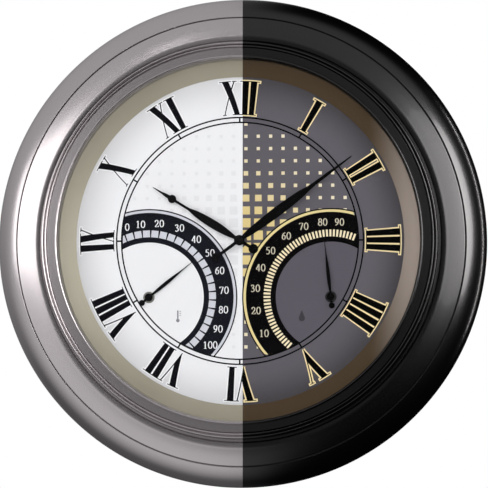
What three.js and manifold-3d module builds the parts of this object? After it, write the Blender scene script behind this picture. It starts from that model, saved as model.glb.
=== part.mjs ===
// Outdoor wall clock with a lit dial, a thermometer and a hygrometer.
// Millimetres, +Z up. The wall plane is y = 0 and the front faces -Y, so a depth d lies at y = -d.
// The clock's axis runs along Y through the origin.
import * as THREE from "three";
import { mergeVertices } from "three/addons/utils/BufferGeometryUtils.js";
import Module from "manifold-3d";

const wasm = await Module();
wasm.setup();

// Clearances
const seat = 0.3;
const screwClearance = 0.3;
const overrun = 1;

// Case ring: the moulded outer roll with its back rim, cover ledge and inner flange
const caseRadius = 228.6;
const edgeDepth = 10;
const backRimInset = 6.6;
const backRimWidth = 6;
const outerRollWidth = 19.4;
const rollEndTurn = THREE.MathUtils.degToRad(50);
const caseWall = 2.2;
const flangeInset = 10;

// Back cover and its seal
const coverWall = 2.5;
const coverEdgeGap = 0.5;
const ledgeWidth = 11;
const ledgeWall = 2;
const sealThickness = 1;
const sealInset = 1.5;
const postInset = 7;
const postRadius = 4;
const postHoleGap = 0.6;
const postCount = 6;

// Screws
const screwRadius = 1.5;
const screwHeadRadius = 3.4;
const screwHeadHeight = 1.8;
const headSetback = 0.2;
const backScrewReach = 14;
const hatchScrewHead = 1;
const hatchScrewFloor = 0.6;

// Bezel ring: inner roll, cove, wall, two beads, band and lip
const seamGroove = 0.8;
const seamRise = 2.8;
const innerRollWidth = 16.9;
const innerRollRise = 4.4;
const innerRollFlattening = 1.25;
const coveWidth = 7.3;
const coveDip = 2;
const wallDraft = 0.7;
const beadInset = 1.2;
const beadPitch = 3.1;
const beadRadius = 0.9;
const beadStep = 0.8;
const bandWidth = 6.4;
const bandStart = 1.6;
const bandRise = 0.4;
const lipWidth = 3.3;
const lipRise = 3.8;
const lipEdge = 1.2;
const bezelWall = 2;
const bezelFootWidth = 2;
const skirtWall = 2;

// Lens with its channel gasket, and the reflector ring behind it
const lensOverlap = 4.4;
const lensThickness = 3;
const gasketWall = 1.5;
const gasketShow = 1.2;
const reflectorGap = 0.4;
const reflectorWidth = 14.1;
const reflectorWall = 1.2;

// Lit dial
const dialThickness = 1;
const dialOverlap = 5.8;
const guideThickness = 4;
const guideInset = 2;
const ledCount = 18;
const ledWidth = 3;
const ledReach = 2.4;
const ledHeight = 2;
const ledGap = 0.5;
const ledBoardWall = 1.2;
const trayWall = 2;
const trayFlange = 5.6;

// Movement
const movementSpace = 6.7;
const wheelRoom = 0.5;
const movementWall = 1.8;
const movementCoverWall = 1.5;
const dividerWall = 0.8;
const rubberWasherThickness = 1;
const rubberWasherRadius = 9;
const bushingWall = 1.2;
const bushingFlangeRadius = 6;
const bushingFlangeWall = 1.2;
const threadShow = 0.4;
const dialWasherRadius = 7;
const dialWasherThickness = 0.6;
const nutAcrossFlats = 11;
const nutThickness = 2;
const shaftHoleGap = 0.4;

// Motion work: two meshing pairs on one centre distance, 3:1 and 4:1
const gearModule = 0.6;
const centreLeaves = 10;
const minuteTeeth = 30;
const minuteLeaves = 8;
const hourTeeth = 32;
const wheelThickness = 1.2;
const leafLength = 2;
const tipThicknessShare = 0.15;
const rootThicknessShare = 0.55;
const addendumShare = 0.85;
const dedendumShare = 1.2;
const wheelPairGap = 1.2;
const minuteWheelTurn = THREE.MathUtils.degToRad(45);
const arborRadius = 1.2;
const pipeGap = 0.4;
const pipeWall = 0.8;
const minuteArborRadius = 0.9;
const bearingGap = 0.3;
const knobRadius = 6;
const knobLength = 4;
const knobRibs = 14;
const knobRibHeight = 0.5;

// Cells, in their real sizes
const cellRadius = 7.1;
const cellLength = 49.2;
const cellNubRadius = 2.7;
const cellNubLength = 1.2;
const cellGap = 0.5;
const contactThickness = 0.5;
const contactWidth = 9;
const contactGap = 0.2;

// Motor and board of the movement
const coilRadius = 4;
const coilLength = 17;
const coilCheek = 1;
const coilInset = 3.5;
const statorThickness = 1;
const statorPostRadius = 1.2;
const statorWidth = 5;
const rotorHoleRadius = 3.4;
const boardThickness = 1.2;
const boardWidth = 17;
const boardHeight = 12;
const boardLift = 3.2;
const crystalRadius = 1.1;
const crystalLength = 6.5;

// Hatch over the movement
const hatchOverlap = 9;
const hatchCorner = 6;
const wellGap = 2;
const hatchScrewInset = 5;

// Hands
const handThickness = 0.6;
const pointerLift = 1.6;
const handGap = 2.1;
const capRoom = 2.1;
const handHubRadius = 4.8;
const minuteHandInset = 22.2;
const minuteHandTail = 27;
const minuteTailBallRadius = 4.2;
const minuteHandWidth = 9;
const hourHandShortfall = 35;
const hourHandTail = 15;
const hourTailBallRadius = 4;
const hourHandWidth = 7.6;
const hourBallRadius = 3.3;
const hourBallShare = 0.775;
const capShoulderShare = 0.85;
const handNeckWidth = 2.2;
const handTipWidth = 0.9;
const capRadius = 3.2;
const capHeight = 2.4;

// One edge of each hand from hub to tip: the share of its length, then the share of its full width
const hourShares = [
  [0.08, 0.48],
  [0.12, 0.63],
  [0.2, 0.87],
  [0.27, 0.98],
  [0.35, 1],
  [0.43, 0.9],
  [0.5, 0.68],
  [0.56, 0.4],
  [0.6, 0.28],
  [0.74, 0.28],
  [0.83, 0.44],
  [0.9, 0.22],
];
const minuteShares = [
  [0.06, 0.5],
  [0.1, 0.68],
  [0.17, 0.84],
  [0.26, 0.96],
  [0.36, 1],
  [0.46, 0.92],
  [0.55, 0.75],
  [0.61, 0.51],
  [0.68, 0.36],
  [0.78, 0.32],
  [0.82, 0.25],
];
const pointerShares = [
  [0.1, 0.62],
  [0.22, 0.88],
  [0.34, 1],
  [0.44, 0.97],
  [0.56, 0.8],
  [0.68, 0.52],
  [0.8, 0.26],
];
const minuteHandTurn = THREE.MathUtils.degToRad(53.4);
const hourHandTurn = THREE.MathUtils.degToRad(301.7);

// Sub-dial instruments
const subDialOffsetShare = 0.5545;
const subDialDropShare = 0.3443;
const pointerLength = 52;
const pointerTail = 8;
const pointerBallRadius = 2.4;
const pointerWidth = 3.3;
const pointerHubRadius = 3.6;
const pointerHubHeight = 0.9;
const spindleRadius = 0.8;
const thermoTurn = THREE.MathUtils.degToRad(51);
const hygroTurn = THREE.MathUtils.degToRad(-6.4);
const cupRadius = 23;
const cupDepth = 12;
const cupWall = 1.5;
const cupCapWall = 1.5;
const cupWindow = 16;
const coilTurns = 3;
const coilInnerRadius = 3;
const coilPitch = 3.4;
const coilStripWidth = 0.7;
const coilStripHeight = 5;
const coilPostRadius = 1.6;

// Lamp supply at the bottom of the back cover
const cellCount = 4;
const batteryInset = 73.5;
const batteryWall = 1.6;
const batteryStand = 1.5;
const doorOverlap = 7;
const latchInset = 4;
const doorSetback = 0.2;
const hingeRadius = 2;
const hingePinRadius = 0.8;
const hingeKnuckle = 8;
const hingeSweep = 3;
const webReach = 2.6;
const webInset = 0.8;
const webHeight = 3.2;
const latchWidth = 14;
const latchReach = 2.2;
const latchThickness = 1.4;

// Slide switch on the back cover
const switchClear = 25.3;
const switchWidth = 22;
const switchHeight = 10;
const switchDepth = 7;
const switchWall = 1;
const switchTravel = 3;
const switchKnobWidth = 6;
const switchKnobHeight = 4;
const switchKnobStand = 1.6;

// Keyhole hanger
const hangerInset = 45.5;
const hangerPlateWall = 1.5;
const hangerPlateMargin = 4;
const hangerPlateSide = 12;
const windowMargin = 2.75;
const windowSide = 6;
const keyholeRadius = 5;
const keyholeSlot = 5;
const keyholeRise = 13;
const hangerScrewInset = 6;

// Vents behind the instruments
const ventCount = 5;
const ventLength = 30;
const ventWidth = 3;
const ventPitch = 7;

// Facets
const ringSides = 40;
const smallSides = 14;
const tinySides = 8;
const hexSides = 6;
const spiralSides = 12;
const cupSides = 20;
const caseRollSteps = 6;
const innerRollSteps = 3;
const rimSteps = 2;
const cornerSteps = 3;
const beadSteps = 2;

// Bores and pipes of the hand stack, worked outward from the minute arbor
const hourPipeBore = arborRadius + pipeGap;
const hourPipeRadius = hourPipeBore + pipeWall;
const bushingBore = hourPipeRadius + pipeGap;
const bushingRadius = bushingBore + bushingWall;

// Heights of the hand stack above the dial
const bushingStand = seat + dialWasherThickness + seat + nutThickness + threadShow;
const hourHandLift = bushingStand + shaftHoleGap;
const minuteHandLift = hourHandLift + handThickness + handGap;
const handSpace = minuteHandLift + handThickness + seat + capHeight + capRoom;

// The movement's width and depth, which its cell sets
const movementSide = cellLength + cellNubLength + 2 * (contactThickness + seat + contactGap + movementWall);
const movementDepth = 2 * cellRadius + movementWall - movementCoverWall;

// Depths, stacked from the wall plane forward
const coverRecess = screwHeadHeight + seat + headSetback;
const coverInner = coverRecess + coverWall;
const ledgeBack = coverInner + seat + sealThickness + seat;
const ledgeFront = ledgeBack + ledgeWall;
const movementCoverBack = coverInner + movementSpace;
const movementCoverFront = movementCoverBack + movementCoverWall;
const movementBack = movementCoverFront + seat;
const movementFront = movementBack + movementDepth;
const rubberWasherBack = movementFront + seat;
const trayBack = rubberWasherBack + rubberWasherThickness + seat;
const trayFloor = trayBack + trayWall;
const guideBack = trayFloor + seat;
const guideFront = guideBack + guideThickness;
const dialBack = guideFront + seat;
const dialFront = dialBack + dialThickness;
const lensBack = dialFront + handSpace;
const lensFront = lensBack + lensThickness;
const lensSeat = lensFront + seat + gasketWall + seat;
const bandDepth = lensSeat + bezelWall;
const lipDepth = bandDepth + lipRise;
const flangeFront = trayBack - seat;
const flangeBack = flangeFront - caseWall;
const seamDepth = flangeFront + seat + seamRise;
const coveDepth = seamDepth + innerRollRise;
const reflectorTop = lensBack - seat - gasketWall - seat;

// Radii, worked inward from the widest edge
const rimOuter = caseRadius - backRimInset;
const rimInner = rimOuter - backRimWidth;
const coverRadius = rimInner - coverEdgeGap;
const ledgeInner = rimInner - ledgeWidth;
const postCircle = ledgeInner - postInset;
const seamRadius = caseRadius - outerRollWidth;
const bezelRadius = seamRadius - seamGroove;
const coveRadius = bezelRadius - innerRollWidth;
const wallFoot = coveRadius - coveWidth;
const wallTop = wallFoot - wallDraft;
const outerBead = wallTop - beadInset;
const innerBead = outerBead - beadPitch;
const bandOuter = innerBead - bandStart;
const bandInner = bandOuter - bandWidth;
const lipRadius = bandInner - lipWidth;
const lensRadius = lipRadius + lensOverlap;
const gasketRadius = lensRadius + seat + gasketWall;
const skirtInner = gasketRadius + seat;
const skirtOuter = skirtInner + skirtWall;
const gasketInner = lipRadius - gasketShow;
const reflectorOuter = gasketInner - reflectorGap;
const dialOpening = reflectorOuter - reflectorWidth;
const dialRadius = dialOpening + dialOverlap;
const guideRadius = dialRadius - guideInset;
const ledBoardInner = guideRadius + ledGap + ledReach;
const ledBoardOuter = ledBoardInner + ledBoardWall;
const trayRimInner = ledBoardOuter + seat;
const trayRimOuter = trayRimInner + trayWall;
const trayRadius = skirtInner + trayFlange;
const flangeInner = trayRadius - flangeInset;

// Places and lengths that follow the dial and the cover
const subDialOffset = dialOpening * subDialOffsetShare;
const subDialDrop = dialOpening * subDialDropShare;
const minuteHandLength = dialOpening - minuteHandInset;
const hourHandLength = minuteHandLength - hourHandShortfall;
const hangerHeight = coverRadius - hangerInset;
const trayDrop = coverRadius - batteryInset;

// Gear sizes that follow from the module
const centreDistance = (gearModule * (centreLeaves + minuteTeeth)) / 2;
const minuteX = centreDistance * Math.cos(minuteWheelTurn);
const minuteZ = centreDistance * Math.sin(minuteWheelTurn);
const hourWheelFront = movementFront - movementWall - bushingFlangeWall - seat;
const hourWheelBack = hourWheelFront - wheelThickness;
const minuteWheelFront = hourWheelBack - wheelPairGap - seat;
const minuteWheelBack = minuteWheelFront - wheelThickness;

// The movement's layout: the wheels round the centre, and the cell below the hour wheel
const movementInner = movementSide - 2 * movementWall;
const movementTop = movementSide / 2;
const hourWheelTip = gearModule * (hourTeeth / 2 + addendumShare);
const dividerZ = -(hourWheelTip + wheelRoom + dividerWall / 2);
const movementCellZ = dividerZ - dividerWall / 2 - seat - cellRadius;
const movementBottom = movementCellZ - cellRadius - seat - movementWall;
const movementCellDepth = movementFront - movementWall - seat - cellRadius;

// Stator, coil and board places inside the movement, measured from its upper corners
const statorFront = movementFront - movementWall - seat - 2 * coilRadius - seat;
const statorBack = statorFront - statorThickness;
const statorX = -movementInner / 2 + coilLength / 2 + coilCheek;
const statorZ = movementTop - movementWall - coilRadius - coilInset;
const statorLegZ = statorZ - coilRadius - rotorHoleRadius - statorWidth / 2;
const boardX = movementInner / 2 - boardWidth / 2 - seat;
const boardZ = movementTop - movementWall - boardHeight / 2 - seat;
const boardFront = movementBack + boardLift + boardThickness;

// Depths of the instrument cups, which stand on the back of the light tray
const cupFront = trayBack - seat;
const cupBack = cupFront - cupDepth;

// The lamp supply's sizes, which its cells set
const cellPitch = 2 * cellRadius + cellGap;
const bayWidth = cellCount * cellPitch + cellGap;
const bayHeight = cellLength + cellNubLength + 2 * (contactThickness + seat) + 2 * cellGap;
const batteryBack = coverInner + seat;
const batteryFront = batteryBack + batteryStand + 2 * cellRadius + seat + batteryWall;
const doorWidth = bayWidth + 2 * doorOverlap;
const doorPinLength = doorWidth - hingeKnuckle;
const doorTop = -trayDrop + bayHeight / 2 + doorOverlap;
const doorBottom = -trayDrop - bayHeight / 2 - doorOverlap;
const doorFront = coverRecess - seat;
const hingeDepth = coverRecess + coverWall / 2;
const hingeLine = doorTop + hingeRadius + seat;
const latchLine = doorBottom + latchInset;
const lugWidth = hingeKnuckle - 2 * seat;
const switchX = doorWidth / 2 + switchClear;

// The keyhole's outline and the window and plate that follow it
const keyholeHeight = keyholeRise + keyholeRadius + keyholeSlot / 2;
const keyholeEntry = hangerHeight - keyholeHeight / 2 + keyholeRadius;
const keyholeTop = keyholeEntry + keyholeRise;
const hangerWindowWidth = 2 * (keyholeRadius + windowSide);
const hangerWindowHeight = keyholeHeight + 2 * windowMargin;
const hangerPlateWidth = hangerWindowWidth + 2 * hangerPlateSide;
const hangerPlateHeight = hangerWindowHeight + 2 * hangerPlateMargin;

// Finishes
const colours = {
  pewter: new THREE.MeshStandardMaterial({ color: 0x96928f, roughness: 0.35, metalness: 0.6 }),
  champagne: new THREE.MeshStandardMaterial({ color: 0xa8a28e, roughness: 0.3, metalness: 0.7 }),
  glass: new THREE.MeshStandardMaterial({
    color: 0xe8f0f0,
    roughness: 0.05,
    transparent: true,
    opacity: 0.3,
  }),
  rubber: new THREE.MeshStandardMaterial({ color: 0x1c1c1e, roughness: 0.9 }),
  dialWhite: new THREE.MeshStandardMaterial({ color: 0xf2f2f0, roughness: 0.6 }),
  acrylic: new THREE.MeshStandardMaterial({
    color: 0xf6f6f2,
    roughness: 0.2,
    transparent: true,
    opacity: 0.7,
  }),
  trayWhite: new THREE.MeshStandardMaterial({ color: 0xe9e9e6, roughness: 0.5 }),
  blackPlastic: new THREE.MeshStandardMaterial({ color: 0x232325, roughness: 0.55 }),
  greyPlastic: new THREE.MeshStandardMaterial({ color: 0x55565a, roughness: 0.5 }),
  whitePlastic: new THREE.MeshStandardMaterial({ color: 0xdcdcd6, roughness: 0.5 }),
  handBlack: new THREE.MeshStandardMaterial({ color: 0x141416, roughness: 0.45, metalness: 0.4 }),
  steel: new THREE.MeshStandardMaterial({ color: 0xb4b6b8, roughness: 0.3, metalness: 1 }),
  brass: new THREE.MeshStandardMaterial({ color: 0xc9a45a, roughness: 0.3, metalness: 1 }),
  copper: new THREE.MeshStandardMaterial({ color: 0xb5683a, roughness: 0.4, metalness: 1 }),
  board: new THREE.MeshStandardMaterial({ color: 0x2f6b45, roughness: 0.6 }),
  cell: new THREE.MeshStandardMaterial({ color: 0x8d8f94, roughness: 0.35, metalness: 0.7 }),
};

// Turns geometry drawn in the x-y plane and pulled along z into the clock's frame, pulled to the front.
const toFront = new THREE.Matrix4().set(1, 0, 0, 0, 0, 0, -1, 0, 0, 1, 0, 0, 0, 0, 0, 1);

// A closed three.js geometry as a solid that can be joined and cut.
function solid(geometry) {
  const bare = geometry.clone();
  bare.deleteAttribute("normal");
  bare.deleteAttribute("uv");
  const merged = mergeVertices(bare);
  return new wasm.Manifold(
    new wasm.Mesh({
      numProp: 3,
      vertProperties: merged.attributes.position.array,
      triVerts: new Uint32Array(merged.index.array),
    }),
  );
}

// A solid as a named mesh.
function part(name, body, material) {
  const made = body.getMesh();
  const geometry = new THREE.BufferGeometry();
  geometry.setAttribute("position", new THREE.BufferAttribute(made.vertProperties, 3));
  geometry.setIndex(new THREE.BufferAttribute(made.triVerts, 1));
  geometry.computeVertexNormals();
  const mesh = new THREE.Mesh(geometry, material);
  mesh.name = name;
  return mesh;
}

// A turned ring from a closed outline of [radius, depth] points.
function turned(outline, sides = ringSides) {
  const points = outline.map(([radius, depth]) => new THREE.Vector2(radius, -depth));
  if (THREE.ShapeUtils.isClockWise(points)) points.reverse();
  points.push(points[0].clone());
  return solid(new THREE.LatheGeometry(points, sides));
}

// A turned piece that closes on the axis, from [radius, depth] points listed from the back to the front.
function spun(outline, sides) {
  const points = outline.map(([radius, depth]) => new THREE.Vector2(radius, -depth)).reverse();
  return solid(new THREE.LatheGeometry(points, sides));
}

// A plain ring between two radii and two depths.
function hoop(inner, outer, back, front, sides) {
  return turned([[inner, back], [outer, back], [outer, front], [inner, front]], sides);
}

// A rod along the clock's axis direction.
function rod(x, z, radius, back, front, sides = smallSides) {
  const geometry = new THREE.CylinderGeometry(radius, radius, front - back, sides);
  geometry.translate(x, -(back + front) / 2, z);
  return solid(geometry);
}

// A block given by its middle, its width, its height and the two depths between which it lies.
function block(x, z, width, height, back, front) {
  const geometry = new THREE.BoxGeometry(width, front - back, height);
  geometry.translate(x, -(back + front) / 2, z);
  return solid(geometry);
}

// A flat shape drawn as seen from the front, between two depths.
function plate(shape, back, front, curveSegments = smallSides) {
  const depth = front - back;
  const geometry = new THREE.ExtrudeGeometry(shape, { depth, bevelEnabled: false, curveSegments });
  geometry.translate(0, 0, back);
  geometry.applyMatrix4(toFront);
  return solid(geometry);
}

function join(...bodies) {
  return bodies.reduce((whole, body) => whole.add(body));
}

function cut(body, ...tools) {
  return tools.reduce((left, tool) => left.subtract(tool), body);
}

// Points of an arc round a centre, by angle from the +radius direction towards the front.
function arc(radius, depth, size, from, to, steps) {
  return Array.from({ length: steps + 1 }, (_, i) => {
    const turn = THREE.MathUtils.degToRad(from + ((to - from) * i) / steps);
    return [radius + size * Math.cos(turn), depth + size * Math.sin(turn)];
  });
}

// The outer roll as a stretch of an ellipse that leaves the widest edge square to the wall.
function outerRoll(inset, from, to, steps) {
  const rise = (seamDepth - edgeDepth) / Math.sin(rollEndTurn);
  const reach = outerRollWidth / (1 - Math.cos(rollEndTurn));
  return Array.from({ length: steps + 1 }, (_, i) => {
    const turn = from + ((to - from) * i) / steps;
    return [
      caseRadius - reach + (reach - inset) * Math.cos(turn),
      edgeDepth + (rise - inset) * Math.sin(turn),
    ];
  });
}

// The turn on the inner ellipse at which it reaches a depth.
function innerTurnAt(depth) {
  const rise = (seamDepth - edgeDepth) / Math.sin(rollEndTurn) - caseWall;
  return Math.asin((depth - edgeDepth) / rise);
}

// The rounded back edge of the case, from the wall out to the widest edge.
function backEdge(inset, steps) {
  return Array.from({ length: steps + 1 }, (_, i) => {
    const turn = (Math.PI / 2) * (i / steps);
    const reach = backRimInset - inset;
    return [rimOuter + reach * Math.sin(turn), edgeDepth - (edgeDepth - inset) * Math.cos(turn)];
  });
}

// The places of the screw posts round the case.
function postPlaces() {
  return Array.from({ length: postCount }, (_, i) => {
    const turn = (2 * Math.PI * i) / postCount;
    return [postCircle * Math.cos(turn), postCircle * Math.sin(turn)];
  });
}

function caseRing() {
  const body = turned([
    [rimInner, 0],
    ...backEdge(0, rimSteps),
    ...outerRoll(0, 0, rollEndTurn, caseRollSteps).slice(1),
    [seamRadius, flangeFront],
    [flangeInner, flangeFront],
    [flangeInner, flangeBack],
    ...outerRoll(caseWall, innerTurnAt(flangeBack), 0, rimSteps),
    [caseRadius - caseWall, ledgeFront],
    [ledgeInner, ledgeFront],
    [ledgeInner, ledgeBack],
    [rimInner, ledgeBack],
  ]);
  const holes = postPlaces().map(([x, z]) =>
    rod(x, z, postRadius + postHoleGap, flangeBack - overrun, flangeFront + overrun, tinySides),
  );
  return part("case_ring", cut(body, ...holes), colours.pewter);
}

// The inner roll, a nearly straight slope from the seam that flattens toward the cove.
function innerRoll(inset) {
  return Array.from({ length: innerRollSteps + 1 }, (_, i) => {
    const along = i / innerRollSteps;
    const rise = innerRollRise * (1 - (1 - along) ** innerRollFlattening);
    return [bezelRadius - innerRollWidth * along, seamDepth + rise - inset];
  });
}

function bezelProfile() {
  const shoulder = bandDepth - bandRise - 2 * beadStep;
  const outerBeadDepth = shoulder - beadRadius / 2;
  const innerBeadDepth = outerBeadDepth + beadStep;
  const underBead = innerBeadDepth - bezelWall;
  return [
    [bezelRadius - bezelFootWidth, flangeFront + seat],
    [bezelRadius, flangeFront + seat],
    ...innerRoll(0),
    [(coveRadius + wallFoot) / 2, coveDepth - coveDip],
    [wallFoot, coveDepth + coveDip],
    [wallTop, shoulder - beadStep],
    ...arc(outerBead, outerBeadDepth, beadRadius, 0, 180, beadSteps),
    ...arc(innerBead, innerBeadDepth, beadRadius, 0, 180, beadSteps),
    [bandOuter, bandDepth - bandRise],
    [bandInner, bandDepth],
    [bandInner - lipEdge / 2, lipDepth - lipEdge],
    [bandInner - lipEdge, lipDepth],
    [lipRadius + lipEdge / 2, lipDepth],
    [lipRadius, lipDepth - lipEdge],
    [lipRadius, lensSeat],
    [skirtInner, lensSeat],
    [skirtInner, trayFloor + seat],
    [skirtOuter, trayFloor + seat],
    [skirtOuter, underBead],
    [wallTop - bezelWall, underBead - beadStep],
    [wallFoot - bezelWall, coveDepth - bezelWall],
    [(coveRadius + wallFoot) / 2, coveDepth - coveDip - bezelWall],
    ...innerRoll(bezelWall)
      .reverse()
      .slice(0, -1),
    [bezelRadius - bezelFootWidth, seamDepth - bezelWall / 2],
  ];
}

function bezelRing() {
  const postBack = coverInner + seat;
  const postFront = seamDepth + innerRollRise / 2;
  const posts = postPlaces().map(([x, z]) => rod(x, z, postRadius, postBack, postFront, tinySides));
  const holeFront = coverInner + backScrewReach + overrun;
  const holes = postPlaces().map(([x, z]) =>
    rod(x, z, screwRadius + screwClearance, postBack - overrun, holeFront, tinySides),
  );
  return part("bezel_ring", cut(join(turned(bezelProfile()), ...posts), ...holes), colours.pewter);
}

function lens() {
  return part("lens", rod(0, 0, lensRadius, lensBack, lensFront, ringSides), colours.glass);
}

// The channel gasket that wraps the lens edge.
function lensGasket() {
  const back = lensBack - seat - gasketWall;
  const front = lensFront + seat + gasketWall;
  const channel = turned(
    [
      [gasketInner, back],
      [gasketRadius, back],
      [gasketRadius, front],
      [gasketInner, front],
      [gasketInner, front - gasketWall],
      [gasketRadius - gasketWall, front - gasketWall],
      [gasketRadius - gasketWall, back + gasketWall],
      [gasketInner, back + gasketWall],
    ],
    ringSides,
  );
  return part("lens_gasket", channel, colours.rubber);
}

// The sloping ring that runs from the lens down to the dial, with a flange under the gasket.
function reflectorRing() {
  const foot = dialFront + seat;
  const body = turned([
    [dialOpening, foot],
    [dialOpening + reflectorWall, foot],
    [reflectorOuter + reflectorWall, reflectorTop - reflectorWall],
    [gasketRadius, reflectorTop - reflectorWall],
    [gasketRadius, reflectorTop],
    [reflectorOuter, reflectorTop],
  ]);
  return part("reflector_ring", body, colours.champagne);
}

// Round holes through the dial layers: the centre and the two instrument spindles.
function dialHoles(back, front) {
  const wide = spindleRadius + shaftHoleGap;
  return [
    rod(0, 0, bushingRadius + shaftHoleGap, back - overrun, front + overrun),
    rod(-subDialOffset, -subDialDrop, wide, back - overrun, front + overrun, tinySides),
    rod(subDialOffset, -subDialDrop, wide, back - overrun, front + overrun, tinySides),
  ];
}

function dialPlate() {
  const disc = rod(0, 0, dialRadius, dialBack, dialFront, ringSides);
  return part("dial_plate", cut(disc, ...dialHoles(dialBack, dialFront)), colours.dialWhite);
}

function lightGuide() {
  const disc = rod(0, 0, guideRadius, guideBack, guideFront, ringSides);
  return part("light_guide", cut(disc, ...dialHoles(guideBack, guideFront)), colours.acrylic);
}

// A strip on edge round the light guide, with its lamps facing inward.
function ledRing() {
  const strip = hoop(ledBoardInner, ledBoardOuter, guideBack, guideFront, ringSides);
  const flat = Math.cos(Math.PI / ringSides);
  const reach = ledReach + ledBoardInner * (1 - flat) + ledBoardWall / 2;
  const middle = (guideBack + guideFront) / 2;
  const leds = Array.from({ length: ledCount }, (_, i) => {
    const geometry = new THREE.BoxGeometry(reach, ledHeight, ledWidth);
    geometry.translate(ledBoardInner + ledBoardWall / 2 - reach / 2, -middle, 0);
    geometry.rotateY((2 * Math.PI * (i + 1 / 2)) / ledCount);
    return solid(geometry);
  });
  return part("led_ring", join(strip, ...leds), colours.trayWhite);
}

function lightTray() {
  const body = spun(
    [
      [0, trayBack],
      [trayRadius, trayBack],
      [trayRadius, trayFloor],
      [trayRimOuter, trayFloor],
      [trayRimOuter, dialBack],
      [trayRimInner, dialBack],
      [trayRimInner, trayFloor],
      [0, trayFloor],
    ],
    ringSides,
  );
  return part("light_tray", cut(body, ...dialHoles(trayBack, trayFloor)), colours.trayWhite);
}

// A plate with rounded corners between two heights, as seen from the front.
function roundedPlate(half, bottom, top, corner) {
  const shape = new THREE.Shape();
  shape.absarc(half - corner, bottom + corner, corner, -Math.PI / 2, 0);
  shape.absarc(half - corner, top - corner, corner, 0, Math.PI / 2);
  shape.absarc(-half + corner, top - corner, corner, Math.PI / 2, Math.PI);
  shape.absarc(-half + corner, bottom + corner, corner, Math.PI, (3 * Math.PI) / 2);
  return shape;
}

// The slots that let outside air reach an instrument.
function vents(x) {
  const back = coverRecess - overrun;
  const front = coverInner + overrun;
  return Array.from({ length: ventCount }, (_, i) => {
    const drop = (i - (ventCount - 1) / 2) * ventPitch;
    return block(x, -subDialDrop + drop, ventLength, ventWidth, back, front);
  });
}

function hatchScrewPlaces() {
  const away = movementTop + wellGap + hatchOverlap - hatchScrewInset;
  return [
    [-away, 0],
    [away, 0],
  ];
}

function hangerScrewPlaces() {
  const away = hangerPlateWidth / 2 - hangerScrewInset;
  return [
    [-away, hangerHeight],
    [away, hangerHeight],
  ];
}

// A block with the movement's outline, grown by a margin.
function movementBlock(margin, back, front) {
  const middle = (movementTop + movementBottom) / 2;
  const height = movementTop - movementBottom + 2 * margin;
  return block(0, middle, movementSide + 2 * margin, height, back, front);
}

// The walls that close the space round the movement inside the cover.
function movementWell() {
  const front = movementCoverBack;
  const ring = movementBlock(wellGap + coverWall, coverInner - coverWall / 2, front);
  return cut(ring, movementBlock(wellGap, coverRecess - overrun, front + overrun));
}

function backCover() {
  const back = coverRecess - overrun;
  const front = coverInner + overrun;
  const disc = rod(0, 0, coverRadius, coverRecess, coverInner, ringSides);
  const screwHole = ([x, z]) => rod(x, z, screwRadius + screwClearance, back, front, tinySides);
  const knobSlotWidth = switchKnobWidth + 2 * switchTravel + 2 * seat;
  const barrelZ = hingeLine + (hingeSweep - hingeRadius) / 2;
  const barrelHeight = hingeRadius + hingeSweep + seat;
  const opened = cut(
    disc,
    movementBlock(wellGap, back, front),
    block(0, -trayDrop, bayWidth, bayHeight, back, front),
    block(0, hangerHeight, hangerWindowWidth, hangerWindowHeight, back, front),
    block(switchX, -trayDrop, knobSlotWidth, switchKnobHeight + 2 * seat, back, front),
    block(0, barrelZ, doorWidth - 2 * hingeKnuckle, barrelHeight, back, front),
    block(0, latchLine, latchWidth + 2 * seat, 2 * latchThickness + 2 * seat, back, front),
    ...vents(-subDialOffset),
    ...vents(subDialOffset),
    ...postPlaces().map(screwHole),
    ...hatchScrewPlaces().map(screwHole),
    ...hangerScrewPlaces().map(screwHole),
  );
  const lugs = [-1, 1].map((side) =>
    block(
      side * (doorWidth / 2 - hingeKnuckle + lugWidth / 2),
      hingeLine,
      lugWidth,
      2 * hingeRadius,
      coverInner - coverWall / 2,
      hingeDepth + hingeRadius,
    ),
  );
  const pinBore = hingeRod(hingePinRadius + seat, doorPinLength + 2 * seat);
  return part("back_cover", cut(join(opened, movementWell(), ...lugs), pinBore), colours.blackPlastic);
}

function backGasket() {
  const ring = hoop(
    ledgeInner + sealInset,
    coverRadius - sealInset,
    coverInner + seat,
    coverInner + seat + sealThickness,
    ringSides,
  );
  return part("back_gasket", ring, colours.rubber);
}

// A pan-head screw seen from behind, its head at the back and its shank towards the front.
function screw(name, x, z, headFront, reach) {
  const head = rod(0, 0, screwHeadRadius, headFront - screwHeadHeight, headFront, tinySides);
  const shank = rod(0, 0, screwRadius, headFront - screwHeadHeight / 2, headFront + reach, tinySides);
  const mesh = part(name, join(head, shank), colours.steel);
  mesh.position.set(x, 0, z);
  return mesh;
}

function backScrews() {
  return postPlaces().map(([x, z], i) =>
    screw(`back_screw_${i + 1}`, x, z, coverRecess - seat, coverWall + backScrewReach),
  );
}

// The steel hanger: a round entry below a slot, clamped inside the cover.
function hangerPlate() {
  const back = coverInner + seat;
  const front = back + hangerPlateWall;
  const body = block(0, hangerHeight, hangerPlateWidth, hangerPlateHeight, back, front);
  const holes = [
    rod(0, keyholeEntry, keyholeRadius, back - overrun, front + overrun),
    rod(0, keyholeTop, keyholeSlot / 2, back - overrun, front + overrun),
    block(0, (keyholeEntry + keyholeTop) / 2, keyholeSlot, keyholeRise, back - overrun, front + overrun),
    ...hangerScrewPlaces().map(([x, z]) =>
      rod(x, z, screwRadius + screwClearance, back - overrun, front + overrun, tinySides),
    ),
  ];
  return part("hanger_plate", cut(body, ...holes), colours.steel);
}

function hangerScrews() {
  const reach = coverWall + seat + hangerPlateWall + 2 * seat;
  return hangerScrewPlaces().map(([x, z], i) =>
    screw(`hanger_screw_${i + 1}`, x, z, coverRecess - seat, reach),
  );
}

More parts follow.
